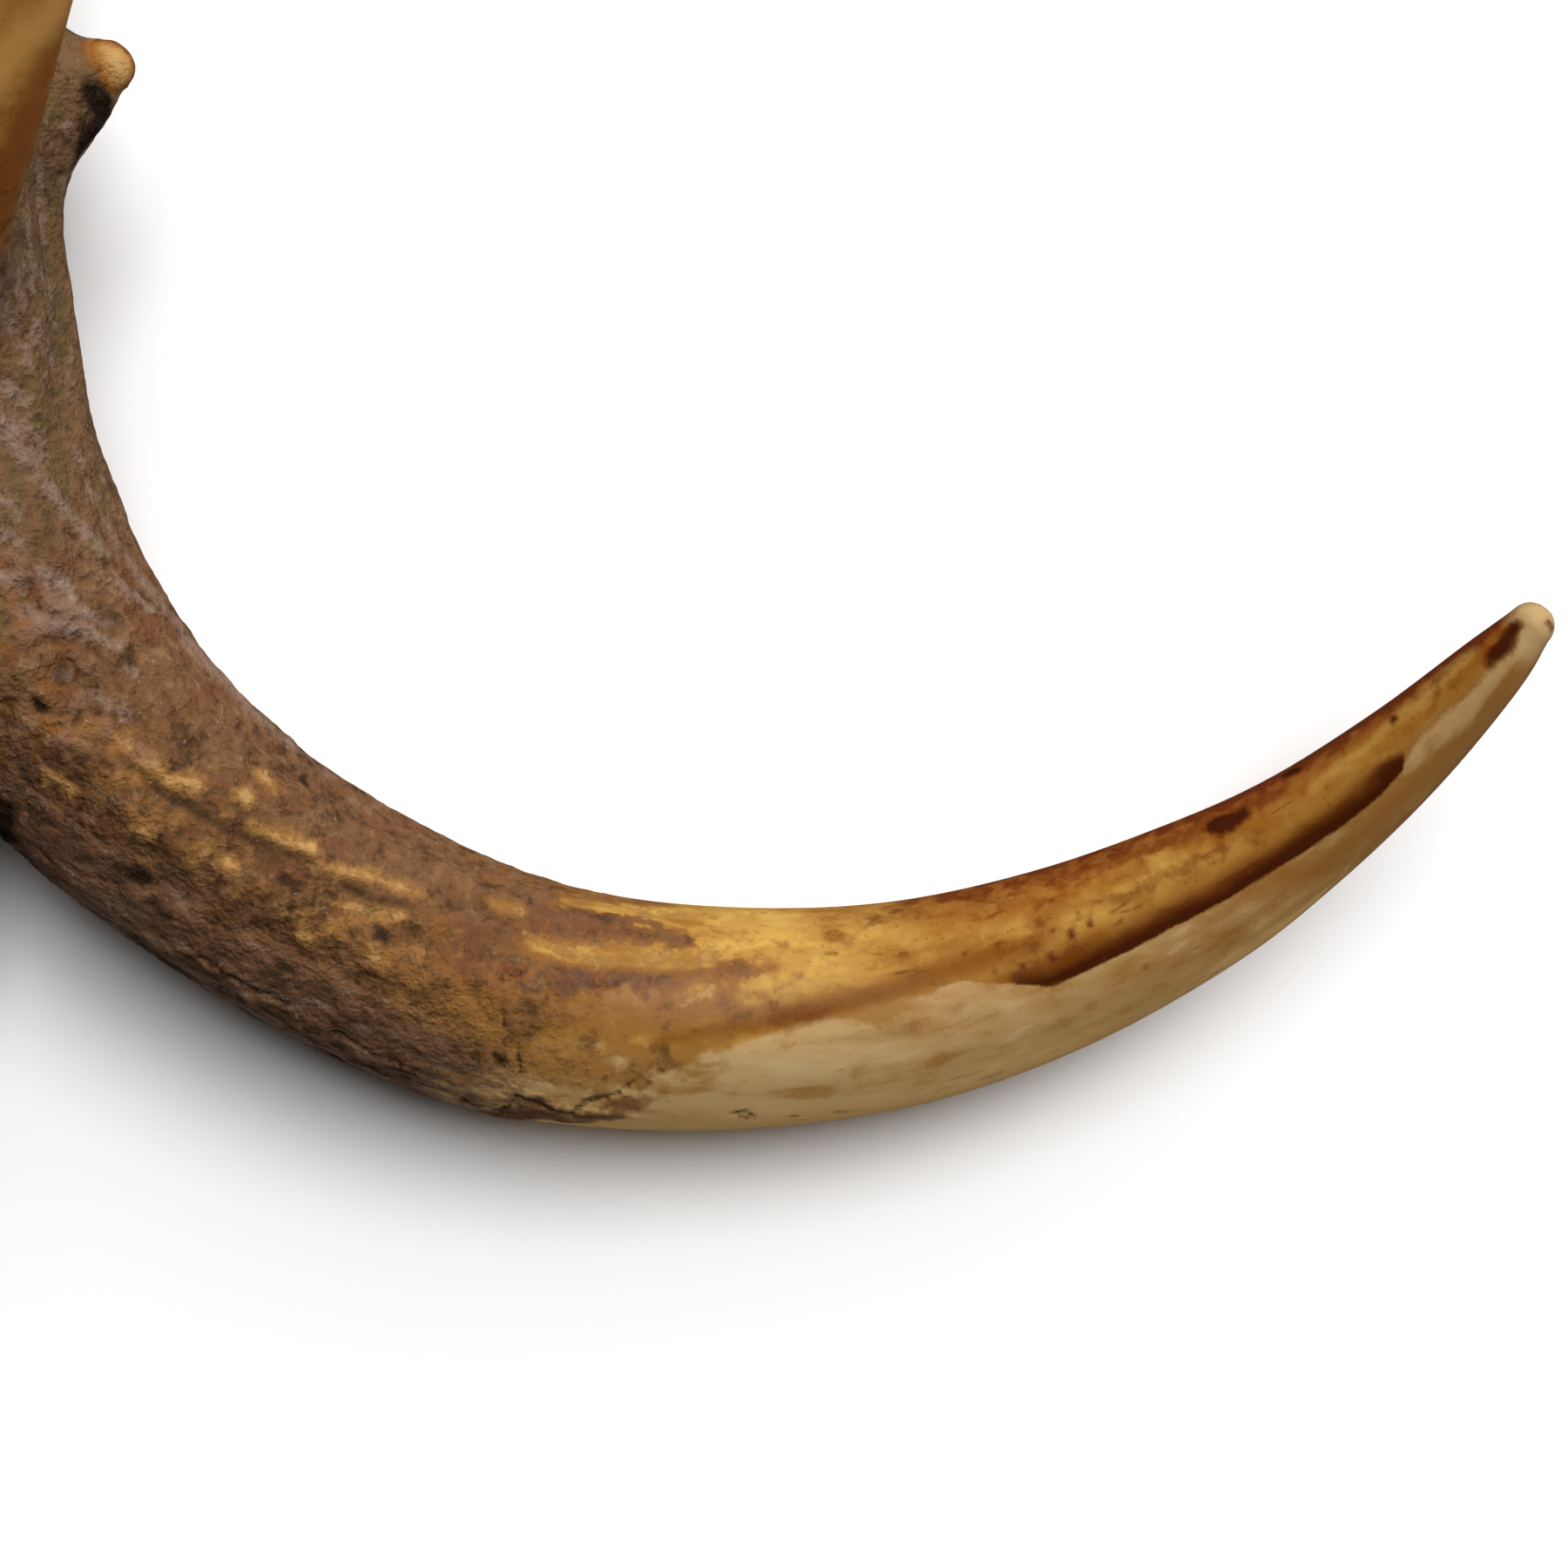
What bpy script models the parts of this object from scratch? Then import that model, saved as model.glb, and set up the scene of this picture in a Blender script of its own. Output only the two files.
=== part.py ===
"""Shed red deer antler, lying on its side.

The beam rises from the burr towards +Y and bows away from the ground at its middle. The long brow
tine leaves it just above the burr and sweeps round to +X. A short bez tine stands up from the side
that faces +Z, with a stunted point beside it, a trez tine leaves half way up, and the beam ends in a
fork of two crown tines. The antler rests on the rim of its burr, the belly of the brow tine and the
last of the beam. It grew as one piece, and it is parted here at its main forks.

Its form is a set of branches. Each one is a centre line with a radius at every point, and where two
branches meet, their surfaces run together in a hollow fillet. The ridges, the pearls and the lumps of
the burr are raised from that form, and the mesh is then thinned.
"""

import math

import bmesh
import bpy
import numpy as np
from mathutils import Matrix, Vector

MM = 0.001

# Centre lines: x, y, z and radius of each point, in millimetres, from the root of the branch to its tip.
BEAM = (
    (-128.0, -4.0, 27.6, 20.0),
    (-116.0, 10.0, 28.2, 19.4),
    (-106.5, 25.0, 28.6, 18.9),
    (-105.2, 43.0, 29.2, 18.6),
    (-107.0, 66.0, 30.6, 18.3),
    (-107.2, 94.0, 33.0, 17.8),
    (-111.0, 135.0, 36.5, 17.2),
    (-121.0, 180.0, 40.0, 16.6),
    (-132.0, 225.0, 42.4, 16.0),
    (-140.0, 270.0, 43.0, 15.4),
    (-142.5, 315.0, 41.0, 14.6),
    (-139.0, 360.0, 36.0, 13.8),
    (-132.0, 400.0, 29.0, 13.2),
    (-129.0, 437.0, 20.6, 10.8),
    (-132.0, 474.0, 12.8, 8.4),
    (-140.0, 509.0, 5.8, 5.8),
    (-148.5, 534.0, 3.4, 3.0),
)
BROW_TINE = (
    (-103.5, 56.0, 28.0, 9.0),
    (-100.4, 38.0, 26.8, 14.7),
    (-93.6, 18.3, 25.4, 17.0),
    (-82.6, 3.2, 23.6, 16.2),
    (-68.2, -9.4, 21.0, 15.3),
    (-52.4, -19.2, 18.2, 15.0),
    (-36.4, -25.8, 16.2, 14.9),
    (-19.4, -29.1, 14.8, 14.5),
    (-0.9, -29.6, 14.0, 13.8),
    (17.1, -27.4, 14.6, 12.8),
    (34.6, -22.0, 16.8, 11.5),
    (51.1, -14.2, 20.6, 9.8),
    (63.8, -6.0, 25.2, 7.8),
    (75.1, 3.5, 30.8, 6.1),
    (84.8, 13.8, 37.2, 4.2),
    (89.0, 18.9, 40.4, 2.8),
)
BEZ_TINE = (
    (-104.0, 58.0, 31.0, 10.5),
    (-101.0, 60.5, 44.0, 9.2),
    (-95.5, 66.0, 57.0, 7.4),
    (-88.0, 75.0, 69.0, 5.6),
    (-80.5, 86.0, 80.0, 3.9),
    (-73.0, 98.0, 90.0, 2.5),
)
STUNTED_POINT = (
    (-100.0, 80.8, 31.0, 13.4),
    (-90.4, 83.6, 31.5, 8.2),
    (-82.2, 87.2, 32.0, 3.3),
)
TREZ_TINE = (
    (-140.0, 266.0, 43.0, 13.0),
    (-113.0, 271.0, 46.5, 9.6),
    (-85.0, 280.0, 51.0, 8.2),
    (-58.0, 296.0, 55.0, 6.6),
    (-36.0, 318.0, 58.0, 4.6),
    (-25.0, 338.0, 59.5, 2.6),
)
CROWN_TINE = (
    (-133.0, 394.0, 30.0, 12.0),
    (-115.0, 418.0, 33.5, 9.4),
    (-95.0, 442.0, 37.5, 7.6),
    (-76.0, 470.0, 40.5, 5.4),
    (-65.0, 500.0, 42.5, 2.8),
)

# The burr: a ring of lumps round the foot of the beam, in a plane across it.
BURR_RISE = 4.5
BURR_CORE_RADIUS = 21.6
BURR_HALF_THICKNESS = 0.6
BURR_ROUNDING = 4.6
BURR_LUMPS = 19
BURR_LUMP_HEIGHT = 2.2
BURR_LUMP_SPREAD = 2.3
BURR_SEED = 11
SHED_FACE_DEPTH = 4.0

# Relief of the surface. The ridges are lower on the brow tine, which is smoother than the beam.
FILLET = 2.3
RIDGE_COUNTS = (5, 8, 13)
RIDGE_HEIGHTS = (0.50, 0.60, 0.40)
RIDGE_WANDER = (31.0, 23.0, 17.0)
BROW_RIDGE_SHARE = 0.4
PEARL_COUNT = 40
PEARL_HEIGHT = 2.0
PEARL_SPREAD = 2.2
PEARL_REACH = (14.0, 46.0)
PEARL_SEED = 7

# Along each branch: where its rough bark has worn down to polished bone, and over what length.
BARK_ENDS = {"main_beam": 455.0, "brow_tine": 118.0, "bez_tine": 26.0, "stunted_point": 6.0,
             "trez_tine": 66.0, "crown_tine": 48.0}
BARK_FADE = 34.0

# Where the tines part from the beam: distance along the tine's centre line and radius of the cut.
FORK_CUTS = {"brow_tine": (62.0, 24.0), "bez_tine": (26.0, 13.0), "trez_tine": (24.0, 16.0),
             "crown_tine": (44.0, 13.0)}
KERF = 0.3

SPAN_STEPS = 6
VOXEL = 1.6
TRIANGLE_BUDGET = 9000

BONE_BROWN = (0.115, 0.062, 0.030, 1.0)
BONE_GOLD = (0.42, 0.25, 0.085, 1.0)
BONE_IVORY = (0.52, 0.40, 0.24, 1.0)


def smooth_path(points):
    """Samples of a smooth curve through the points, with the radius as a fourth column."""
    knots = np.array(points)
    slopes = np.gradient(knots, axis=0)
    steps = np.linspace(0.0, 1.0, SPAN_STEPS, endpoint=False)[:, None]
    spans = []
    for start, end, slope_in, slope_out in zip(knots[:-1], knots[1:], slopes[:-1], slopes[1:]):
        cubic = 2 * start - 2 * end + slope_in + slope_out
        square = -3 * start + 3 * end - 2 * slope_in - slope_out
        spans.append(((cubic * steps + square) * steps + slope_in) * steps + start)
    spans.append(knots[-1:])
    return np.vstack(spans)


class Branch:
    """One centre line with radii, able to say how far a point lies outside its surface."""

    def __init__(self, name, points, facing):
        samples = smooth_path(points)
        self.name = name
        self.centres = samples[:, :3]
        self.radii = samples[:, 3]
        self.facing = np.array(facing)
        lengths = np.linalg.norm(np.diff(self.centres, axis=0), axis=1)
        self.along = np.concatenate(([0.0], np.cumsum(lengths)))

    def nearest(self, points):
        """Distance outside the plain surface, outward direction, length along and angle around."""
        starts = self.centres[:-1]
        edges = np.diff(self.centres, axis=0)
        best = np.full(len(points), np.inf)
        outward = np.zeros((len(points), 3))
        along = np.zeros(len(points))
        tangents = np.zeros((len(points), 3))
        for index, (start, edge) in enumerate(zip(starts, edges)):
            share = np.clip((points - start) @ edge / (edge @ edge), 0.0, 1.0)
            offset = points - start - share[:, None] * edge
            distance = np.linalg.norm(offset, axis=1)
            radius = self.radii[index] + share * (self.radii[index + 1] - self.radii[index])
            closer = distance - radius < best
            best[closer] = (distance - radius)[closer]
            outward[closer] = (offset / np.maximum(distance, 1e-6)[:, None])[closer]
            along[closer] = (self.along[index]
                             + share * (self.along[index + 1] - self.along[index]))[closer]
            tangents[closer] = edge / np.linalg.norm(edge)
        front = self.facing - (tangents @ self.facing)[:, None] * tangents
        front /= np.linalg.norm(front, axis=1)[:, None]
        side = np.cross(tangents, front)
        around = np.arctan2((outward * side).sum(axis=1), (outward * front).sum(axis=1))
        return best, outward, along, around


def branches():
    """All the branches, with the direction from which the angle around each one is counted."""
    up = (0.0, 0.0, 1.0)
    return [Branch("main_beam", BEAM, up), Branch("brow_tine", BROW_TINE, up),
            Branch("bez_tine", BEZ_TINE, (-1.0, 0.0, 0.0)), Branch("stunted_point", STUNTED_POINT, up),
            Branch("trez_tine", TREZ_TINE, up), Branch("crown_tine", CROWN_TINE, up)]


def burr_frame():
    """Middle of the burr and the direction of the beam as it leaves it."""
    middle = np.array(BEAM[0][:3])
    axis = np.array(BEAM[1][:3]) - middle
    return middle, axis / np.linalg.norm(axis)


def burr_distance(points):
    """Distance outside the burr's ring of lumps, and the outward direction."""
    middle, axis = burr_frame()
    offset = points - middle - BURR_RISE * axis
    height = offset @ axis
    flat = offset - height[:, None] * axis
    reach = np.linalg.norm(flat, axis=1)
    radial = flat / np.maximum(reach, 1e-6)[:, None]
    past_rim = np.maximum(reach - BURR_CORE_RADIUS, 0.0)
    past_face = np.sign(height) * np.maximum(np.abs(height) - BURR_HALF_THICKNESS, 0.0)
    distance = np.hypot(past_rim, past_face)
    direction = past_rim[:, None] * radial + past_face[:, None] * axis
    direction /= np.maximum(np.linalg.norm(direction, axis=1), 1e-6)[:, None]
    across = np.cross(axis, (0.0, 0.0, 1.0))
    angle = np.arctan2(radial[:, 2], radial @ across)
    random = np.random.default_rng(BURR_SEED)
    raised = np.zeros(len(points))
    for lump in range(BURR_LUMPS):
        place = 2 * math.pi * (lump + random.uniform(-0.25, 0.25)) / BURR_LUMPS
        rise = BURR_LUMP_HEIGHT * random.uniform(0.6, 1.0)
        level = random.uniform(-1.0, 1.0)
        apart = (np.angle(np.exp(1j * (angle - place))) * BURR_CORE_RADIUS) ** 2 + (height - level) ** 2
        raised = np.maximum(raised, rise * np.exp(-apart / (2 * BURR_LUMP_SPREAD ** 2)))
    return distance - BURR_ROUNDING - raised * (past_rim > 0), direction


def ridges(branch, along, around):
    """Height of the long ridges of the bark, which wander as they run along the branch."""
    height = np.zeros(len(along))
    for count, rise, wander in zip(RIDGE_COUNTS, RIDGE_HEIGHTS, RIDGE_WANDER):
        drift = 0.8 * np.sin(along / wander + count) + 0.5 * np.sin(along / (0.37 * wander))
        height += rise * np.cos(count * around + drift)
    rough = np.clip((BARK_ENDS[branch.name] - along) / BARK_FADE + 0.5, 0.0, 1.0)
    share = BROW_RIDGE_SHARE if branch.name == "brow_tine" else 1.0
    return height * rough * share


def pearls(beam, along, around):
    """Height of the pearls, which crowd the foot of the beam."""
    random = np.random.default_rng(PEARL_SEED)
    height = np.zeros(len(along))
    for _ in range(PEARL_COUNT):
        place = random.uniform(*PEARL_REACH)
        angle = random.uniform(-math.pi, math.pi)
        turn = np.angle(np.exp(1j * (around - angle)))
        radius = np.interp(place, beam.along, beam.radii)
        apart = (along - place) ** 2 + (turn * radius) ** 2
        height += PEARL_HEIGHT * np.exp(-apart / (2 * PEARL_SPREAD ** 2))
    return np.minimum(height, PEARL_HEIGHT)


def distance_outside(points, parts):
    """Distance outside the whole antler, and the direction that leads straight out of it."""
    distances = []
    directions = []
    for branch in parts:
        plain, outward, along, around = branch.nearest(points)
        relief = ridges(branch, along, around)
        if branch.name == "main_beam":
            relief += pearls(branch, along, around)
        distances.append(plain - relief)
        directions.append(outward)
    burr, burr_outward = burr_distance(points)
    distances.append(burr)
    directions.append(burr_outward)
    distances = np.array(distances)
    nearest = distances.min(axis=0)
    weights = np.exp((nearest - distances) / FILLET)
    total = weights.sum(axis=0)
    direction = (weights[:, :, None] * np.array(directions)).sum(axis=0)
    direction /= np.maximum(np.linalg.norm(direction, axis=1), 1e-6)[:, None]
    return nearest - FILLET * np.log(total), direction


def tube(branch):
    """A tube along the branch's centre line, as a mesh in millimetres."""
    curve = bpy.data.curves.new(branch.name, "CURVE")
    curve.dimensions = "3D"
    curve.bevel_depth = 1.0
    curve.bevel_resolution = 4
    curve.use_fill_caps = True
    spline = curve.splines.new("POLY")
    spline.points.add(len(branch.centres) - 1)
    for point, centre, radius in zip(spline.points, branch.centres, branch.radii):
        point.co = (*centre, 1.0)
        point.radius = radius
    holder = bpy.data.objects.new(branch.name, curve)
    bpy.context.scene.collection.objects.link(holder)
    mesh = bpy.data.meshes.new_from_object(holder.evaluated_get(bpy.context.evaluated_depsgraph_get()))
    bpy.data.objects.remove(holder)
    return mesh


def rough_form(parts):
    """Tubes, round ends and the burr's disc, joined and remeshed to one closed skin."""
    form = bmesh.new()
    for branch in parts:
        form.from_mesh(tube(branch))
        for end in (0, -1):
            place = Matrix.Translation(branch.centres[end])
            bmesh.ops.create_uvsphere(form, u_segments=24, v_segments=12,
                                      radius=branch.radii[end], matrix=place)
    middle, axis = burr_frame()
    turn = Vector((0.0, 0.0, 1.0)).rotation_difference(Vector(axis)).to_matrix().to_4x4()
    rim = BURR_CORE_RADIUS + BURR_ROUNDING
    thickness = 2 * (BURR_HALF_THICKNESS + BURR_ROUNDING)
    place = Matrix.Translation(middle + BURR_RISE * axis) @ turn
    bmesh.ops.create_cone(form, cap_ends=True, segments=48, radius1=rim, radius2=rim,
                          depth=thickness, matrix=place)
    bmesh.ops.remove_doubles(form, verts=form.verts, dist=1e-4)
    mesh = bpy.data.meshes.new("rough_form")
    form.to_mesh(mesh)
    form.free()
    holder = bpy.data.objects.new("rough_form", mesh)
    bpy.context.scene.collection.objects.link(holder)
    remesh = holder.modifiers.new("one_skin", "REMESH")
    remesh.mode = "VOXEL"
    remesh.voxel_size = VOXEL
    skin = bpy.data.meshes.new_from_object(holder.evaluated_get(bpy.context.evaluated_depsgraph_get()))
    bpy.data.objects.remove(holder)
    return skin


def settle_on_form(mesh, parts):
    """Move the skin's points onto the antler's true surface."""
    points = np.empty(3 * len(mesh.vertices))
    mesh.vertices.foreach_get("co", points)
    points = points.reshape(-1, 3)
    for _ in range(4):
        distance, direction = distance_outside(points, parts)
        points -= 0.9 * distance[:, None] * direction
    mesh.vertices.foreach_set("co", points.ravel())
    mesh.update()


def thinned(mesh, collection):
    """The skin as an object in metres, thinned to the triangle budget."""
    mesh.transform(Matrix.Scale(MM, 4))
    antler = bpy.data.objects.new("antler", mesh)
    collection.objects.link(antler)
    triangles = sum(len(polygon.vertices) - 2 for polygon in mesh.polygons)
    thin = antler.modifiers.new("thin", "DECIMATE")
    thin.ratio = TRIANGLE_BUDGET / triangles
    thin.use_collapse_triangulate = True
    return antler


def disc_cutter(name, middle, axis, radius, thickness, collection):
    """A flat round cutter, its axis along the given direction."""
    disc = bmesh.new()
    bmesh.ops.create_cone(disc, cap_ends=True, segments=32, radius1=radius * MM, radius2=radius * MM,
                          depth=thickness * MM)
    mesh = bpy.data.meshes.new(name)
    disc.to_mesh(mesh)
    disc.free()
    cutter = bpy.data.objects.new(name, mesh)
    cutter.location = Vector(middle) * MM
    cutter.rotation_euler = Vector((0.0, 0.0, 1.0)).rotation_difference(Vector(axis)).to_euler()
    cutter.hide_render = True
    cutter.display_type = "WIRE"
    collection.objects.link(cutter)
    return cutter


def cut(antler, cutter):
    """Take the cutter out of the antler."""
    boolean = antler.modifiers.new(cutter.name, "BOOLEAN")
    boolean.operation = "DIFFERENCE"
    boolean.object = cutter


def add_cutters(antler, parts, collection):
    """Kerfs at the forks, and the flat shed face under the burr."""
    for branch in parts:
        if branch.name not in FORK_CUTS:
            continue
        place, radius = FORK_CUTS[branch.name]
        index = int(np.searchsorted(branch.along, place))
        axis = branch.centres[index + 1] - branch.centres[index - 1]
        kerf = disc_cutter(branch.name + "_kerf", branch.centres[index], axis, radius, KERF, collection)
        cut(antler, kerf)
    middle, axis = burr_frame()
    depth = 30.0
    face = middle - (SHED_FACE_DEPTH + 0.5 * depth) * axis
    cut(antler, disc_cutter("shed_face", face, axis, 40.0, depth, collection))


def islands(mesh):
    """The vertex indices of each separate body of the mesh."""
    owner = list(range(len(mesh.vertices)))

    def root(vertex):
        while owner[vertex] != vertex:
            owner[vertex] = owner[owner[vertex]]
            vertex = owner[vertex]
        return vertex

    for edge in mesh.edges:
        first, second = (root(vertex) for vertex in edge.vertices)
        owner[max(first, second)] = min(first, second)
    bodies = {}
    for vertex in range(len(mesh.vertices)):
        bodies.setdefault(root(vertex), set()).add(vertex)
    return list(bodies.values())


def body_object(mesh, body, name, material, collection):
    """One body of the mesh as an object of its own."""
    piece = bmesh.new()
    piece.from_mesh(mesh)
    piece.verts.ensure_lookup_table()
    others = [vertex for vertex in piece.verts if vertex.index not in body]
    bmesh.ops.delete(piece, geom=others, context="VERTS")
    bmesh.ops.triangulate(piece, faces=piece.faces)
    own = bpy.data.meshes.new(name)
    piece.to_mesh(own)
    piece.free()
    own.materials.clear()
    own.materials.append(material)
    own.shade_smooth()
    own.set_sharp_from_angle(angle=math.radians(50))
    result = bpy.data.objects.new(name, own)
    collection.objects.link(result)
    return result


def bone(name, colour, roughness):
    """A plain bone finish for one piece."""
    material = bpy.data.materials.new(name)
    material.use_nodes = True
    shader = material.node_tree.nodes["Principled BSDF"]
    shader.inputs["Base Color"].default_value = colour
    shader.inputs["Roughness"].default_value = roughness
    shader.inputs["Metallic"].default_value = 0.0
    return material


def place_on_ground(pieces):
    """Set the origin under the middle of the antler, on the ground that it lies on."""
    corners = np.array([vertex.co for piece in pieces for vertex in piece.data.vertices])
    low = corners.min(axis=0)
    high = corners.max(axis=0)
    shift = Vector((-0.5 * (low[0] + high[0]), -0.5 * (low[1] + high[1]), -low[2]))
    for piece in pieces:
        piece.data.transform(Matrix.Translation(shift))


def build():
    """Make the antler's five pieces."""
    for old in list(bpy.data.objects):
        bpy.data.objects.remove(old)
    antler_collection = bpy.data.collections.new("deer_antler")
    cutter_collection = bpy.data.collections.new("cutters")
    for collection in (antler_collection, cutter_collection):
        bpy.context.scene.collection.children.link(collection)
    parts = branches()
    skin = rough_form(parts)
    settle_on_form(skin, parts)
    antler = thinned(skin, antler_collection)
    add_cutters(antler, parts, cutter_collection)
    depsgraph = bpy.context.evaluated_depsgraph_get()
    split = bpy.data.meshes.new_from_object(antler.evaluated_get(depsgraph))
    bpy.data.objects.remove(antler)
    finishes = {"main_beam": bone("rough_brown_bone", BONE_BROWN, 0.6),
                "brow_tine": bone("polished_golden_bone", BONE_GOLD, 0.3),
                "bez_tine": bone("bez_golden_bone", BONE_GOLD, 0.35),
                "trez_tine": bone("trez_golden_bone", BONE_IVORY, 0.35),
                "crown_tine": bone("crown_golden_bone", BONE_IVORY, 0.35)}
    tips = {branch.name: branch.centres[-1] * MM for branch in parts if branch.name in finishes}
    places = np.array([vertex.co for vertex in split.vertices])
    pieces = []
    for body in islands(split):
        own_places = places[sorted(body)]
        name = min(tips, key=lambda tine: np.linalg.norm(own_places - tips[tine], axis=1).min())
        pieces.append(body_object(split, body, name, finishes[name], antler_collection))
    place_on_ground(pieces)


build()
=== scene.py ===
# %% [markdown]
# # A shed deer antler, polished by wear
# The bone of an antler grows as a few tapering branches. Its foot is rough: long ridges, pearls and a ring
# of lumps called the burr. Towards the ends of the tines the bark has been rubbed away and the bone is
# polished, golden on one side and ivory on the other, with brown stains where sap soaked in. This lesson
# builds that bone as one skin, raises its relief, parts it at the forks and paints its finish.

import math
from contextlib import contextmanager

import bmesh
import bpy
import numpy as np
from mathutils import Matrix, Vector
from mathutils.bvhtree import BVHTree


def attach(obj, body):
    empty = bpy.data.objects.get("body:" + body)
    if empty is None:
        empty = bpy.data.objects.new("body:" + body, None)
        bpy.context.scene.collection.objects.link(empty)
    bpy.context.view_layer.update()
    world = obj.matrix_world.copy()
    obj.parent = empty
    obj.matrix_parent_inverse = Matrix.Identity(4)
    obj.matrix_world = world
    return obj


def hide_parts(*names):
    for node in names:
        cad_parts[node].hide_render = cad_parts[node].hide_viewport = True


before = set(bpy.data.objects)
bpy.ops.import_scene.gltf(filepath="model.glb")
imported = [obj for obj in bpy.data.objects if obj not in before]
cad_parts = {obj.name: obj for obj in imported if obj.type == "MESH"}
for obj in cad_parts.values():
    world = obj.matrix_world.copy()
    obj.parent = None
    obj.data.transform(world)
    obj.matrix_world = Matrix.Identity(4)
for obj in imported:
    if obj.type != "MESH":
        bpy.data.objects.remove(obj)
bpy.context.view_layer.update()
MM = 0.001

# %% [markdown]
# ## The branches
# A branch is a centre line with a radius at each point. It could be a bevelled curve, but where two
# branches meet we need one skin with a hollow fillet, so we keep the lines as numbers and ask every point
# of the skin how far it lies outside each branch. The lines are those of the solids in the frame.

# %% Centre lines in millimetres: x, y, z, radius
BEAM = (
    (-128.0, -4.0, 27.6, 20.0), (-116.0, 10.0, 28.2, 19.4), (-106.5, 25.0, 28.6, 18.9),
    (-105.2, 43.0, 29.2, 18.6), (-107.0, 66.0, 30.6, 18.3), (-107.2, 94.0, 33.0, 17.8),
    (-111.0, 135.0, 36.5, 17.2), (-121.0, 180.0, 40.0, 16.6), (-132.0, 225.0, 42.4, 16.0),
    (-140.0, 270.0, 43.0, 15.4), (-142.5, 315.0, 41.0, 14.6), (-139.0, 360.0, 36.0, 13.8),
    (-132.0, 400.0, 29.0, 13.2), (-129.0, 437.0, 20.6, 10.8), (-132.0, 474.0, 12.8, 8.4),
    (-140.0, 509.0, 5.8, 5.8), (-148.5, 534.0, 3.4, 3.0),
)
BROW_TINE = (
    (-103.5, 56.0, 28.0, 9.0), (-100.4, 38.0, 26.8, 14.7), (-93.6, 18.3, 25.4, 17.0),
    (-82.6, 3.2, 23.6, 16.2), (-68.2, -9.4, 21.0, 15.3), (-52.4, -19.2, 18.2, 15.0),
    (-36.4, -25.8, 16.2, 14.9), (-19.4, -29.1, 14.8, 14.5), (-0.9, -29.6, 14.0, 13.8),
    (17.1, -27.4, 14.6, 12.8), (34.6, -22.0, 16.8, 11.5), (51.1, -14.2, 20.6, 9.8),
    (63.8, -6.0, 25.2, 7.8), (75.1, 3.5, 30.8, 6.1), (84.8, 13.8, 37.2, 4.2), (89.0, 18.9, 40.4, 2.8),
)
BEZ_TINE = (
    (-104.0, 58.0, 31.0, 10.5), (-101.0, 60.5, 44.0, 9.2), (-95.5, 66.0, 57.0, 7.4),
    (-88.0, 75.0, 69.0, 5.6), (-80.5, 86.0, 80.0, 3.9), (-73.0, 98.0, 90.0, 2.5),
)
STUNTED_POINT = ((-100.0, 80.8, 31.0, 13.4), (-90.4, 83.6, 31.5, 8.2), (-82.2, 87.2, 32.0, 3.3))
TREZ_TINE = (
    (-140.0, 266.0, 43.0, 13.0), (-113.0, 271.0, 46.5, 9.6), (-85.0, 280.0, 51.0, 8.2),
    (-58.0, 296.0, 55.0, 6.6), (-36.0, 318.0, 58.0, 4.6), (-25.0, 338.0, 59.5, 2.6),
)
CROWN_TINE = (
    (-133.0, 394.0, 30.0, 12.0), (-115.0, 418.0, 33.5, 9.4), (-95.0, 442.0, 37.5, 7.6),
    (-76.0, 470.0, 40.5, 5.4), (-65.0, 500.0, 42.5, 2.8),
)

# %% A smooth line through the points
SPAN_STEPS = 6


def smooth_path(points):
    """Samples of a smooth curve through the points, with the radius as a fourth column."""
    knots = np.array(points)
    slopes = np.gradient(knots, axis=0)
    steps = np.linspace(0.0, 1.0, SPAN_STEPS, endpoint=False)[:, None]
    spans = []
    for start, end, slope_in, slope_out in zip(knots[:-1], knots[1:], slopes[:-1], slopes[1:]):
        cubic = 2 * start - 2 * end + slope_in + slope_out
        square = -3 * start + 3 * end - 2 * slope_in - slope_out
        spans.append(((cubic * steps + square) * steps + slope_in) * steps + start)
    spans.append(knots[-1:])
    return np.vstack(spans)


# %% [markdown]
# Each branch can say three things of a point near it: how far the point lies outside its plain surface,
# how far along the branch it is, and at what angle round it. The angle is counted from the side that
# faces the camera, so it is zero on top and grows towards the photo's lower side on the brow tine.

# %% The branch
BRANCH_REACH = 26.0
FAR = 1000.0


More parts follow.
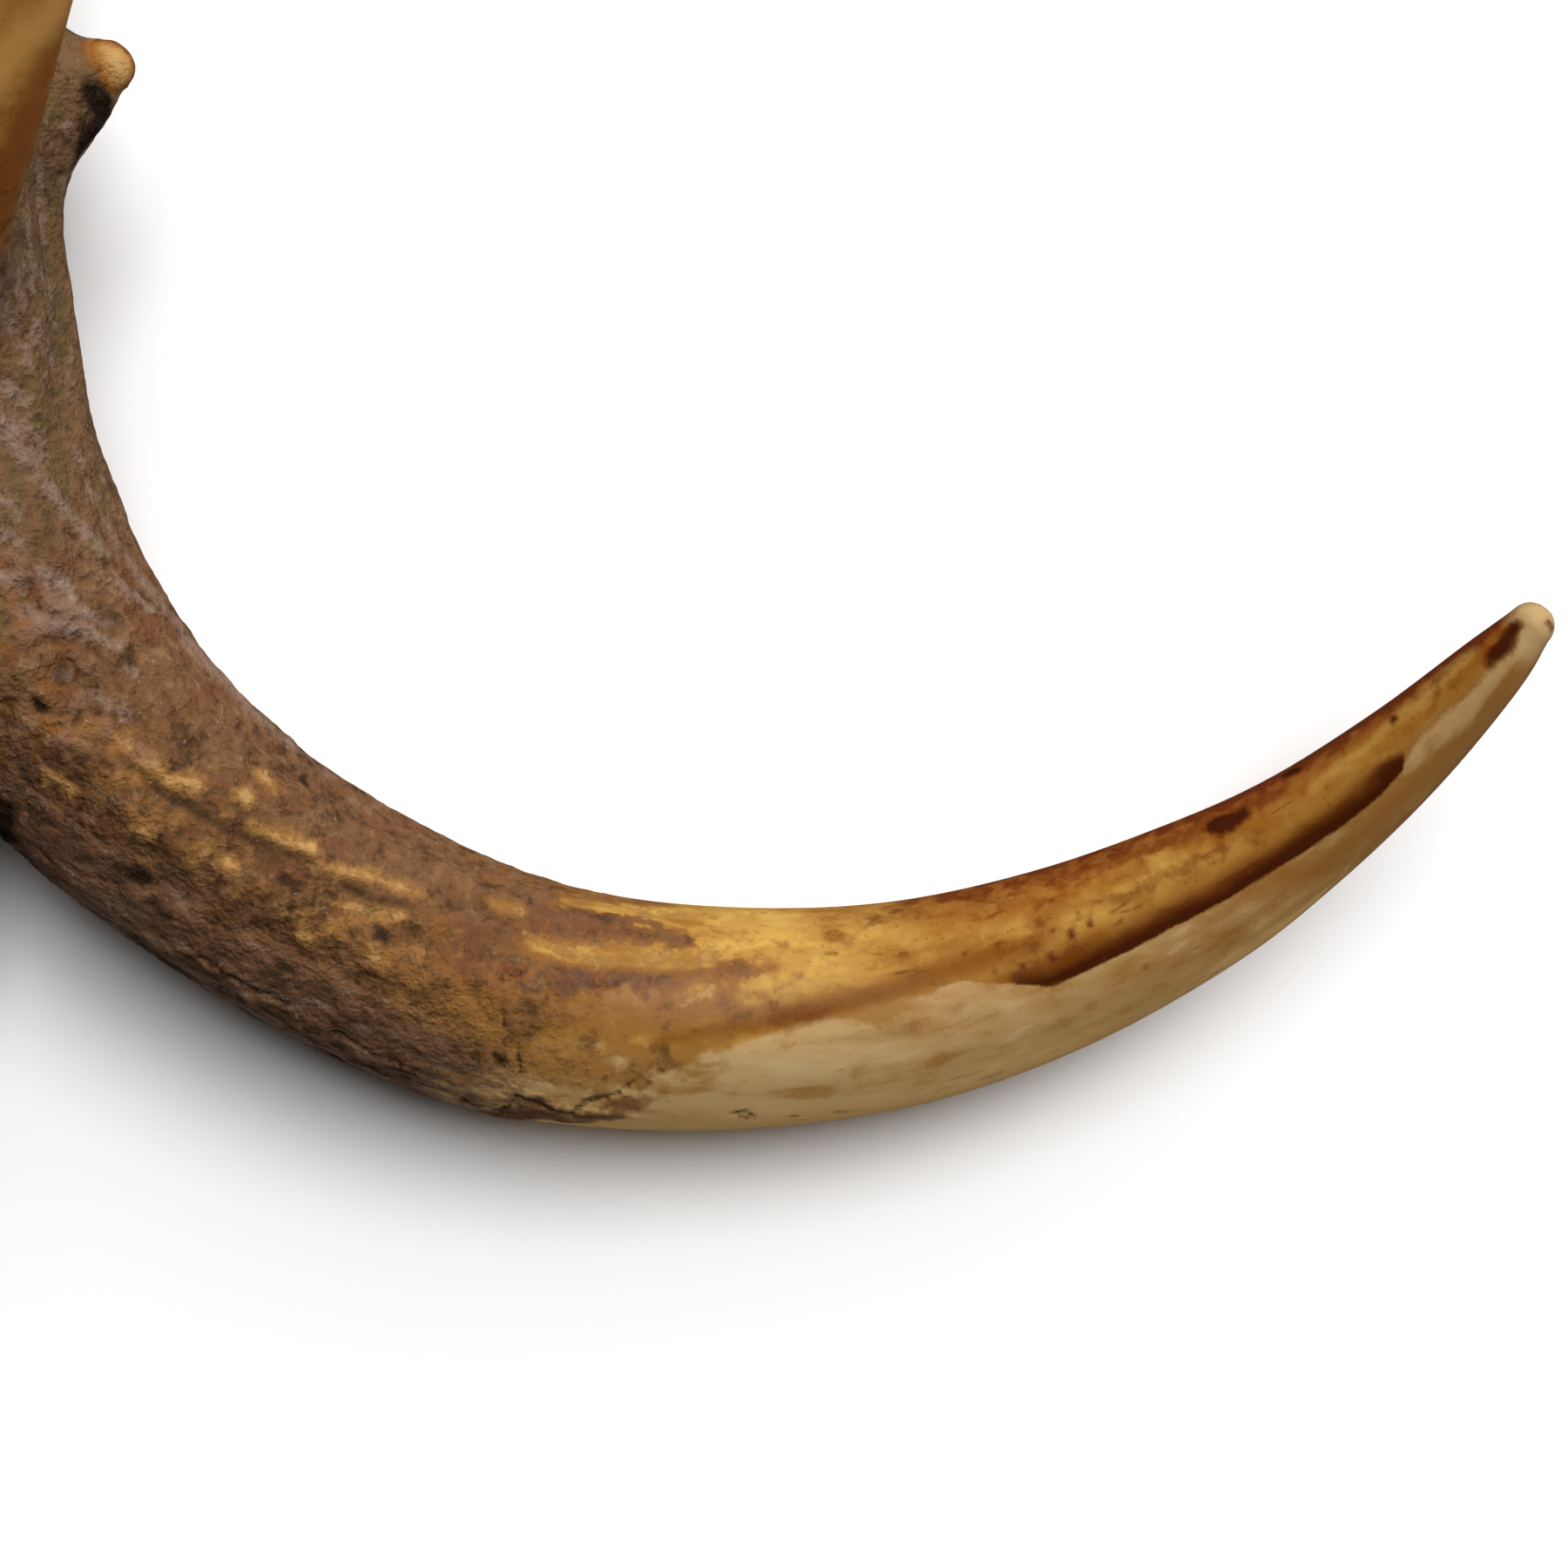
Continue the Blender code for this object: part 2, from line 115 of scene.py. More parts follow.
class Branch:
    """One centre line with radii."""

    def __init__(self, name, points, facing=(0.0, 0.0, 1.0)):
        samples = smooth_path(points)
        self.name = name
        self.centres = samples[:, :3]
        self.radii = samples[:, 3]
        self.facing = np.array(facing)
        lengths = np.linalg.norm(np.diff(self.centres, axis=0), axis=1)
        self.along = np.concatenate(([0.0], np.cumsum(lengths)))
        tangents = np.gradient(self.centres, self.along, axis=0)
        self.tangents = tangents / np.linalg.norm(tangents, axis=1)[:, None]
        self.bends = np.gradient(self.tangents, self.along, axis=0)
        self.tapers = np.gradient(self.radii, self.along)

    def nearest(self, points):
        """Distance outside, outward direction, length along and angle around, for each point."""
        margin = self.radii.max() + BRANCH_REACH
        low = self.centres.min(axis=0) - margin
        high = self.centres.max(axis=0) + margin
        near = ((points > low) & (points < high)).all(axis=1)
        found = self.nearest_of_close(points[near])
        results = []
        for value, blank in zip(found, (FAR, 0.0, 0.0, 0.0)):
            full = np.full((len(points),) + value.shape[1:], blank)
            full[near] = value
            results.append(full)
        return results

    def nearest_of_close(self, points):
        """The same, for points that are all close to the branch."""
        squares = (points ** 2).sum(axis=1)[:, None] - 2 * points @ self.centres.T
        squares += (self.centres ** 2).sum(axis=1)
        sample = (np.sqrt(np.maximum(squares, 0.0)) - self.radii).argmin(axis=1)
        offset = points - self.centres[sample]
        tangent = self.tangents[sample]
        bend = self.bends[sample]
        step = (offset * tangent).sum(axis=1) / np.maximum(1.0 - (offset * bend).sum(axis=1), 0.3)
        step = np.clip(step, -self.along[sample], self.along[-1] - self.along[sample])
        offset = offset - step[:, None] * tangent - 0.5 * (step ** 2)[:, None] * bend
        distance = np.linalg.norm(offset, axis=1)
        outside = distance - self.radii[sample] - step * self.tapers[sample]
        outward = offset / np.maximum(distance, 1e-6)[:, None]
        tangent = tangent + step[:, None] * bend
        tangent /= np.linalg.norm(tangent, axis=1)[:, None]
        front = self.facing - (tangent @ self.facing)[:, None] * tangent
        front /= np.linalg.norm(front, axis=1)[:, None]
        side = np.cross(tangent, front)
        around = np.arctan2((outward * side).sum(axis=1), (outward * front).sum(axis=1))
        return outside, outward, self.along[sample] + step, around


BRANCHES = [Branch("main_beam", BEAM), Branch("brow_tine", BROW_TINE),
            Branch("bez_tine", BEZ_TINE, (-1.0, 0.0, 0.0)), Branch("stunted_point", STUNTED_POINT),
            Branch("trez_tine", TREZ_TINE), Branch("crown_tine", CROWN_TINE)]
for branch in BRANCHES:
    print(branch.name, "is", round(float(branch.along[-1])), "mm along its middle")

# %% [markdown]
# ## The form
# The skin is where one smooth distance is zero. The branches' distances are blended, so that a fillet
# forms at each fork. Low ridges wander along the bark, pearls crowd the foot of the beam, the burr is a
# ring of lumps, and a plane cuts the foot off flat where the antler broke from the skull. These are the
# same rules as those of the solids, so that both have the same large forms.

# %% Sizes of the form
FILLET = 2.3
RIDGE_COUNTS = (5, 8, 13)
RIDGE_HEIGHTS = (0.50, 0.60, 0.40)
RIDGE_WANDER = (31.0, 23.0, 17.0)
BROW_RIDGE_SHARE = 0.4
BARK_ENDS = {"main_beam": 455.0, "brow_tine": 118.0, "bez_tine": 26.0, "stunted_point": 6.0,
             "trez_tine": 66.0, "crown_tine": 48.0}
BARK_FADE = 34.0
PEARL_COUNT = 40
PEARL_HEIGHT = 2.0
PEARL_SPREAD = 2.2
PEARL_REACH = (14.0, 46.0)
PEARL_SEED = 7
BURR_RISE = 4.5
BURR_CORE_RADIUS = 21.6
BURR_HALF_THICKNESS = 0.6
BURR_ROUNDING = 4.6
BURR_LUMPS = 19
BURR_LUMP_HEIGHT = 2.2
BURR_LUMP_SPREAD = 2.3
BURR_SEED = 11
SHED_FACE_DEPTH = 4.0
SHED_FACE_EDGE = 0.6


# %% Ridges and pearls
def ridges(branch, along, around):
    """Height of the long ridges of the bark, which wander as they run along the branch."""
    height = np.zeros(len(along))
    for count, rise, wander in zip(RIDGE_COUNTS, RIDGE_HEIGHTS, RIDGE_WANDER):
        drift = 0.8 * np.sin(along / wander + count) + 0.5 * np.sin(along / (0.37 * wander))
        height += rise * np.cos(count * around + drift)
    rough = np.clip((BARK_ENDS[branch.name] - along) / BARK_FADE + 0.5, 0.0, 1.0)
    share = BROW_RIDGE_SHARE if branch.name == "brow_tine" else 1.0
    return height * rough * share


def pearls(beam, along, around):
    """Height of the pearls, which crowd the foot of the beam."""
    random = np.random.default_rng(PEARL_SEED)
    height = np.zeros(len(along))
    for _ in range(PEARL_COUNT):
        place = random.uniform(*PEARL_REACH)
        angle = random.uniform(-math.pi, math.pi)
        turn = np.angle(np.exp(1j * (around - angle)))
        radius = np.interp(place, beam.along, beam.radii)
        apart = (along - place) ** 2 + (turn * radius) ** 2
        height += PEARL_HEIGHT * np.exp(-apart / (2 * PEARL_SPREAD ** 2))
    return np.minimum(height, PEARL_HEIGHT)


# %% The burr
BURR_MIDDLE = np.array(BEAM[0][:3])
BURR_AXIS = (np.array(BEAM[1][:3]) - BURR_MIDDLE) / np.linalg.norm(np.array(BEAM[1][:3]) - BURR_MIDDLE)
BURR_ACROSS = np.cross(BURR_AXIS, (0.0, 0.0, 1.0))


def burr_distance(points):
    """Distance outside the burr's ring of lumps, and the outward direction."""
    offset = points - BURR_MIDDLE - BURR_RISE * BURR_AXIS
    height = offset @ BURR_AXIS
    flat = offset - height[:, None] * BURR_AXIS
    reach = np.linalg.norm(flat, axis=1)
    radial = flat / np.maximum(reach, 1e-6)[:, None]
    past_rim = np.maximum(reach - BURR_CORE_RADIUS, 0.0)
    past_face = np.sign(height) * np.maximum(np.abs(height) - BURR_HALF_THICKNESS, 0.0)
    distance = np.hypot(past_rim, past_face)
    direction = past_rim[:, None] * radial + past_face[:, None] * BURR_AXIS
    direction /= np.maximum(np.linalg.norm(direction, axis=1), 1e-6)[:, None]
    angle = np.arctan2(radial[:, 2], radial @ BURR_ACROSS)
    random = np.random.default_rng(BURR_SEED)
    raised = np.zeros(len(points))
    for lump in range(BURR_LUMPS):
        place = 2 * math.pi * (lump + random.uniform(-0.25, 0.25)) / BURR_LUMPS
        rise = BURR_LUMP_HEIGHT * random.uniform(0.6, 1.0)
        level = random.uniform(-1.0, 1.0)
        apart = (np.angle(np.exp(1j * (angle - place))) * BURR_CORE_RADIUS) ** 2 + (height - level) ** 2
        raised = np.maximum(raised, rise * np.exp(-apart / (2 * BURR_LUMP_SPREAD ** 2)))
    return distance - BURR_ROUNDING - raised * (past_rim > 0), direction


# %% The whole form
def shed_face_distance(points):
    """Distance beyond the plane where the antler broke off."""
    return -((points - BURR_MIDDLE) @ BURR_AXIS) - SHED_FACE_DEPTH


def blended(distances, directions, width):
    """One smooth distance from several, with a fillet of about that width where they meet."""
    distances = np.array(distances)
    nearest = distances.min(axis=0)
    weights = np.exp((nearest - distances) / width)
    total = weights.sum(axis=0)
    direction = (weights[:, :, None] * np.array(directions)).sum(axis=0)
    direction /= np.maximum(np.linalg.norm(direction, axis=1), 1e-6)[:, None]
    return nearest - width * np.log(total), direction


def distance_outside(points):
    """Distance outside the whole antler, and the direction that leads straight out of it."""
    distances = []
    directions = []
    for branch in BRANCHES:
        plain, outward, along, around = branch.nearest(points)
        relief = ridges(branch, along, around)
        if branch.name == "main_beam":
            relief += pearls(branch, along, around)
        distances.append(plain - relief)
        directions.append(outward)
    burr, burr_outward = burr_distance(points)
    distances.append(burr)
    directions.append(burr_outward)
    form, form_outward = blended(distances, directions, FILLET)
    face = shed_face_distance(points)
    face_outward = np.tile(-BURR_AXIS, (len(points), 1))
    inside, inward = blended([-form, -face], [-form_outward, -face_outward], SHED_FACE_EDGE)
    return -inside, -inward


# %% [markdown]
# ## The skin
# Tubes along the lines, with round ends and a disc for the burr, give a rough body. A voxel remesh joins
# them into one closed skin of even squares, and each point is then moved along the outward direction
# until its distance is zero. Sculpting would do it too, but this way the form follows its numbers.

# %% Helpers for meshes
@contextmanager
def edited(mesh):
    """The mesh opened for editing, and written back afterwards."""
    work = bmesh.new()
    work.from_mesh(mesh)
    yield work
    work.to_mesh(mesh)
    work.free()


def vectors_of(parts, field):
    """A vector of every part of a mesh, as rows of an array."""
    values = np.empty(3 * len(parts))
    parts.foreach_get(field, values)
    return values.reshape(-1, 3)


def evaluated_mesh(thing):
    """The object's mesh with its modifiers applied."""
    return bpy.data.meshes.new_from_object(thing.evaluated_get(bpy.context.evaluated_depsgraph_get()))


def hold(name, data):
    """A scene object that holds the data."""
    thing = bpy.data.objects.new(name, data)
    bpy.context.scene.collection.objects.link(thing)
    return thing


# %% Rough body
VOXEL = 1.2
TUBE_SIDES = 24
TOUCHING = 1e-4


def tube(branch):
    """A round tube along the branch's centre line."""
    curve = bpy.data.curves.new(branch.name, "CURVE")
    curve.dimensions = "3D"
    curve.bevel_depth = 1.0
    curve.bevel_resolution = 4
    curve.use_fill_caps = True
    spline = curve.splines.new("POLY")
    spline.points.add(len(branch.centres) - 1)
    for point, centre, radius in zip(spline.points, branch.centres, branch.radii):
        point.co = (*centre, 1.0)
        point.radius = radius
    holder = hold(branch.name, curve)
    mesh = evaluated_mesh(holder)
    bpy.data.objects.remove(holder)
    return mesh


def rough_skin():
    """Tubes, round ends and the burr's disc, remeshed to one closed skin."""
    mesh = bpy.data.meshes.new("rough_skin")
    turn = Vector((0.0, 0.0, 1.0)).rotation_difference(Vector(BURR_AXIS)).to_matrix().to_4x4()
    rim = BURR_CORE_RADIUS + BURR_ROUNDING
    with edited(mesh) as form:
        for branch in BRANCHES:
            form.from_mesh(tube(branch))
            for end in (0, -1):
                bmesh.ops.create_uvsphere(form, u_segments=TUBE_SIDES, v_segments=TUBE_SIDES // 2,
                                          radius=branch.radii[end],
                                          matrix=Matrix.Translation(branch.centres[end]))
        bmesh.ops.create_cone(form, cap_ends=True, segments=2 * TUBE_SIDES, radius1=rim, radius2=rim,
                              depth=2 * (BURR_HALF_THICKNESS + BURR_ROUNDING),
                              matrix=Matrix.Translation(BURR_MIDDLE + BURR_RISE * BURR_AXIS) @ turn)
        bmesh.ops.remove_doubles(form, verts=form.verts, dist=TOUCHING)
    holder = hold("rough_skin", mesh)
    remesh = holder.modifiers.new("one_skin", "REMESH")
    remesh.mode = "VOXEL"
    remesh.voxel_size = VOXEL
    skin = evaluated_mesh(holder)
    bpy.data.objects.remove(holder)
    return skin


# %% Settle the skin on the form
SETTLE_SHARE = 0.9
FIRST_ROUNDS = 4
LATER_ROUNDS = 2


def settle(mesh, rounds):
    """Move the skin's points onto the antler's true surface, a large share of the way in each round."""
    points = vectors_of(mesh.vertices, "co")
    for _ in range(rounds):
        distance, direction = distance_outside(points)
        points -= SETTLE_SHARE * distance[:, None] * direction
    mesh.vertices.foreach_set("co", points.ravel())
    mesh.update()


skin = rough_skin()
settle(skin, FIRST_ROUNDS)
print("the skin has", len(skin.polygons), "squares")

# %% [markdown]
# The stretch that the photo shows needs finer relief than the rest, so its squares are cut in four there
# and settled again. Everything else keeps the coarser squares, which keeps each piece light. The stunted
# point tapers faster than the squares can follow, and a little smoothing takes the steps off its cap.

# %% Finer squares where the photo looks
FINE_BEAM_REACH = 112.0
FINE_TINE_START = 60.0
UNDERSIDE = -0.45
SOFT_REACH = 12.0
SOFT_ROUNDS = 10


def in_the_photo(points):
    """True for the tines in the photo, and for the upper side of the elbow and the beam above it."""
    found = [branch.nearest(points) for branch in BRANCHES]
    owner = np.array([result[0] for result in found]).argmin(axis=0)
    names = np.array([branch.name for branch in BRANCHES])[owner]
    turn = np.choose(owner, [np.cos(result[3]) for result in found])
    along = np.choose(owner, [result[2] for result in found])
    outer_brow = (names == "brow_tine") & (along > FINE_TINE_START)
    tines = np.isin(names, ("stunted_point", "bez_tine")) | outer_brow
    upper = np.isin(names, ("main_beam", "brow_tine")) & (turn > UNDERSIDE)
    return tines | (upper & (points[:, 1] < FINE_BEAM_REACH))


def refine(mesh):
    """Cut the chosen squares in four."""
    chosen = in_the_photo(vectors_of(mesh.polygons, "center"))
    with edited(mesh) as work:
        edges = {edge for face in work.faces if chosen[face.index] for edge in face.edges}
        bmesh.ops.subdivide_edges(work, edges=list(edges), cuts=1, use_grid_fill=True)


def soften(mesh, middle, reach):
    """Smooth the skin round one place."""
    with edited(mesh) as work:
        close = [vertex for vertex in work.verts if (vertex.co - Vector(middle)).length < reach]
        for _ in range(SOFT_ROUNDS):
            bmesh.ops.smooth_vert(work, verts=close, factor=0.5,
                                  use_axis_x=True, use_axis_y=True, use_axis_z=True)


refine(skin)
settle(skin, LATER_ROUNDS)
soften(skin, STUNTED_POINT[-1][:3], SOFT_REACH)
print("refined to", len(skin.polygons), "faces")

# %% [markdown]
# ## Where the tines part from the beam
# The antler is one bone, and the library keeps it as five pieces that meet at the forks. Each cut is
# made now, as a ring of edges across the tine, so that both pieces later share the same points there.

# %% Cut rings: millimetres along the tine, and how far round that place the cut may reach
FORK_CUTS = {"brow_tine": (62.0, 24.0), "bez_tine": (26.0, 13.0), "trez_tine": (24.0, 16.0),
             "crown_tine": (44.0, 13.0)}
CUT_SNAP = 0.02


def cut_plane(branch):
    """The middle and the direction of the branch's cut."""
    index = int(np.searchsorted(branch.along, FORK_CUTS[branch.name][0]))
    axis = branch.centres[index + 1] - branch.centres[index - 1]
    return branch.centres[index], axis / np.linalg.norm(axis)


def ring_cuts(mesh):
    """Add a ring of edges where each tine's cut plane crosses the skin."""
    with edited(mesh) as work:
        for branch in BRANCHES:
            if branch.name not in FORK_CUTS:
                continue
            centre, axis = (Vector(value) for value in cut_plane(branch))
            reach = FORK_CUTS[branch.name][1]
            offsets = {face: face.calc_center_median() - centre for face in work.faces}
            close = [face for face, offset in offsets.items()
                     if offset.length < reach and abs(offset.dot(axis)) < 2 * VOXEL]
            geometry = set(close)
            for face in close:
                geometry.update(face.edges)
                geometry.update(face.verts)
            bmesh.ops.bisect_plane(work, geom=list(geometry), plane_co=centre, plane_no=axis, dist=CUT_SNAP)
        bmesh.ops.triangulate(work, faces=work.faces)


ring_cuts(skin)
print("after the cuts the skin has", len(skin.polygons), "triangles")

# %% [markdown]
# ## The photo's view
# The camera looks straight down on the lying antler. Its place, height and focal length come from the
# photo's scale, and with them a place in the photo can be cast onto the bone. Stains and cracks are then
# given where the photo shows them.

# %% The photo's scale and the eye
PHOTO_SIZE = 1800
MM_PER_PIXEL = 0.11
VIEW_PLANE = 16.0
CAMERA_DISTANCE = 440.0
SENSOR = 36.0

eye = np.array((0.0, 0.0, VIEW_PLANE + CAMERA_DISTANCE))
bone_tree = BVHTree.FromPolygons([tuple(point) for point in vectors_of(skin.vertices, "co")],
                                 [tuple(face.vertices) for face in skin.polygons])


def on_bone(pixel):
    """The place on the bone that the photo shows at this pixel."""
    across = (pixel[0] - PHOTO_SIZE / 2) * MM_PER_PIXEL
    up = (PHOTO_SIZE / 2 - pixel[1]) * MM_PER_PIXEL
    ray = Vector((across, up, -CAMERA_DISTANCE)).normalized()
    hit = bone_tree.ray_cast(Vector(eye), ray)[0]
    if hit is None:
        hit = bone_tree.find_nearest(Vector((across, up, VIEW_PLANE)))[0]
    return np.array(hit)


print("the tip is at", [round(float(value), 1) for value in on_bone((1765, 715))])

# %% [markdown]
# ## Marks
# A mark is a stroke: a few places read in the photo, with a half-width in pixels at each. Every point of the
# skin stores how deep it lies inside the nearest stroke of a kind, in millimetres, and the finish turns that
# depth into an edge. A picture would be blurred by its pixels, and a stroke stays sharp.

# %% Marks on the beam and the elbow
BEAM_MARKS = {
    "ridge_line": (
        ((-40, 440, 6), (5, 487, 6), (29, 524, 6), (63, 573, 5), (116, 636, 3)),
        ((128, 664, 3), (160, 692, 5), (194, 718, 6), (228, 742, 5), (262, 790, 4), (330, 850, 3)),
        ((-20, 600, 8), (20, 640, 9), (60, 690, 8), (110, 735, 6)),
        ((-30, 250, 5), (-5, 340, 7), (5, 400, 6), (12, 452, 5)),
    ),
    "groove": (
        ((140, 868, 2), (158, 884, 3), (186, 908, 4), (221, 926, 5), (253, 946, 5), (300, 966, 5),
         (344, 984, 4), (372, 1000, 2)),
        ((392, 1012, 2), (430, 1034, 3), (470, 1040, 2)), ((700, 1034, 1), (760, 1050, 2), (830, 1062, 1)),
    ),
    "ochre": (
        ((132, 848, 6), (145, 858, 7)), ((162, 872, 8), (182, 884, 9)), ((190, 896, 7), (221, 903, 10)),
        ((277, 914, 9), (283, 920, 9)), ((298, 890, 7), (314, 904, 6)),
        ((285, 950, 4), (325, 965, 7), (358, 974, 9)), ((356, 992, 4), (390, 1000, 6), (425, 1006, 6)),
        ((436, 1010, 5), (475, 1024, 7)), ((387, 1038, 5), (425, 1046, 8), (459, 1053, 7)),
        ((566, 1038, 5), (595, 1043, 7)), ((345, 1074, 8), (354, 1076, 8)),
        ((428, 1096, 8), (440, 1102, 8)), ((60, 892, 5), (80, 905, 6)), ((150, 950, 4), (170, 956, 6)),
        ((255, 985, 5), (270, 992, 6)),
    ),
    "pearl_mark": (
        ((221, 904, 11),), ((279, 916, 12),), ((300, 893, 10),), ((176, 878, 10),), ((354, 974, 9),),
        ((140, 853, 9),),
    ),
    "knuckle": (
        ((10, 660, 40), (50, 720, 50), (90, 790, 45), (150, 850, 26)), ((20, 800, 40), (60, 850, 40)),
    ),
    # A painted sheen in lilac along the beam's right edge, where the light grazes it.
    "rim_dust": (
        ((118, 596, 4), (158, 660, 8), (200, 716, 10), (250, 778, 10), (310, 838, 7), (380, 892, 4)),
    ),
    "dust": (
        ((-20, 655, 9), (12, 665, 6), (28, 670, 5)), ((50, 658, 7), (70, 670, 9), (82, 690, 6)),
        ((-10, 560, 6), (20, 590, 5)), ((62, 718, 6), (100, 727, 7), (138, 744, 4)),
        ((90, 700, 6), (120, 716, 5)), ((44, 186, 4), (48, 275, 5)), ((73, 205, 7), (70, 222, 5)),
        ((3, 345, 9), (12, 374, 9)), ((38, 374, 5), (41, 388, 4)), ((56, 406, 4), (60, 420, 4)),
        ((4, 446, 9), (24, 460, 6)),
        ((-20, 462, 8), (5, 490, 8), (29, 526, 7), (63, 574, 6), (118, 636, 5)),
        ((86, 518, 3), (92, 532, 3)), ((134, 808, 6), (140, 820, 5)), ((96, 606, 3), (106, 616, 3)),
        ((132, 668, 4), (165, 698, 5), (222, 733, 6)), ((66, 776, 4), (80, 770, 4)),
        ((32, 250, 4), (36, 330, 4)), ((20, 312, 3), (24, 350, 3)), ((52, 320, 3), (58, 372, 3)),
        ((30, 488, 4), (50, 522, 4)), ((0, 612, 6), (24, 622, 4)), ((100, 560, 3), (106, 572, 3)),
        ((28, 400, 4), (34, 420, 4)), ((76, 440, 3), (80, 452, 3)), ((24, 702, 4), (50, 712, 4)),
        ((150, 770, 3), (158, 776, 3)), ((110, 800, 4), (118, 806, 4)),
    ),
    "amber_spot": (
        ((43, 776, 4), (54, 788, 5)), ((0, 650, 6), (14, 690, 7), (24, 716, 5)),
        ((4, 740, 4), (14, 750, 5)), ((54, 830, 5), (66, 838, 4)), ((128, 850, 4), (134, 862, 4)),
    ),
    "dirt": (
        ((145, 876, 3), (186, 912, 6), (221, 932, 7), (253, 952, 6), (300, 974, 6), (350, 994, 4)),
        ((372, 1030, 5), (400, 1020, 6), (440, 1076, 8), (475, 1074, 11), (500, 1086, 6)),
        ((415, 1150, 10), (428, 1180, 12), (440, 1200, 8)),
        ((470, 1110, 6), (520, 1134, 10), (545, 1125, 6)), ((552, 1145, 6), (566, 1156, 5)),
        ((556, 1205, 7), (572, 1222, 7)), ((575, 1272, 8), (588, 1256, 6)),
        ((600, 1276, 5), (650, 1282, 8), (700, 1268, 6)), ((34, 800, 5), (44, 812, 8), (52, 818, 6)),
        ((390, 1108, 6), (400, 1120, 8)), ((100, 982, 12), (150, 1003, 17), (200, 1015, 12)),
        ((160, 1030, 8), (190, 1050, 12)), ((240, 1050, 7), (270, 1080, 9)),
        ((730, 1140, 5), (760, 1150, 6)), ((655, 1128, 4), (690, 1136, 4)),
        ((720, 1150, 4), (745, 1170, 5)),
    ),
    "hollow": (((38, 800, 3), (46, 812, 6), (54, 816, 3)), ((568, 1212, 3), (574, 1222, 4))),
}

# %% Marks where the bark ends, and the painted highlights and shade of the stunted point and the bez tine
BARK_END_MARKS = {
    "bark_band": (
        ((560, 1078, 12), (598, 1060, 10), (640, 1062, 11), (680, 1066, 10), (720, 1070, 8),
         (760, 1076, 6), (802, 1085, 3)),
        ((545, 1105, 14), (600, 1117, 9), (650, 1121, 8), (700, 1124, 8), (750, 1127, 8), (780, 1130, 7),
         (800, 1120, 5), (830, 1112, 6), (868, 1118, 4)),
        ((600, 1040, 6), (650, 1046, 7), (690, 1054, 7), (730, 1058, 5)),
        ((560, 1282, 14), (620, 1276, 20), (660, 1282, 18), (700, 1276, 14), (740, 1262, 6)),
    ),
    "bare_patch": (
        ((606, 1080, 3), (640, 1092, 6), (690, 1101, 6), (740, 1100, 6), (790, 1103, 5), (830, 1092, 5)),
        ((572, 1040, 4), (592, 1043, 5)), ((780, 1143, 4), (812, 1138, 5)),
        ((650, 1036, 3), (700, 1040, 4)), ((720, 1042, 5), (780, 1052, 7)),
    ),
    "tan_stain": (
        ((600, 1160, 10), (660, 1160, 14), (720, 1156, 17), (780, 1152, 15), (835, 1130, 9)),
        ((600, 1215, 14), (660, 1232, 15), (725, 1236, 9)),
    ),
    "crack": (
        ((592, 1186, 1), (596, 1210, 2), (600, 1238, 1)),
        ((576, 1152, 0.8), (582, 1190, 1.6), (577, 1226, 2.5)),
        ((575, 1276, 3), (594, 1258, 2.5), (625, 1268, 3), (654, 1277, 3)),
        ((654, 1277, 3), (676, 1262, 2.5), (704, 1258, 2), (730, 1240, 1)),
        ((565, 1122, 1), (582, 1124, 2), (602, 1116, 1)),
        ((836, 1279, 1), (856, 1276, 1.6), (866, 1284, 1)),
        ((480, 1240, 1.5), (510, 1252, 2), (545, 1268, 1.5)),
        ((300, 1168, 1.5), (340, 1190, 2), (390, 1212, 1.5)),
        ((380, 1180, 1.5), (430, 1210, 2), (480, 1228, 1.5)),
        ((230, 1098, 1.5), (280, 1130, 2), (330, 1154, 1.5)),
    ),
    "deep_shade": (
        ((98, 104, 6), (112, 120, 13), (116, 134, 17), (102, 154, 18), (88, 178, 11)),
        ((128, 996, 5), (168, 1006, 4)), ((20, 1000, 26), (70, 1050, 20), (120, 1090, 12)),
        ((0, 930, 24), (10, 975, 26)),
    ),
    # The stunted point's polished gold cap, with a painted highlight at its middle.
    "knob_gold": (((122, 55, 9), (131, 63, 15), (139, 82, 11)),),
    # On the bez tine, a painted shade down its right edge and a painted highlight down its lit side.
    "bez_shade": (((60, 62, 8), (44, 108, 11), (28, 154, 14), (8, 205, 17), (-14, 255, 19)),),
    "bez_glow": (((84, -40, 12), (66, 14, 11), (30, 42, 9), (6, 70, 9), (-12, 100, 8)),),
}

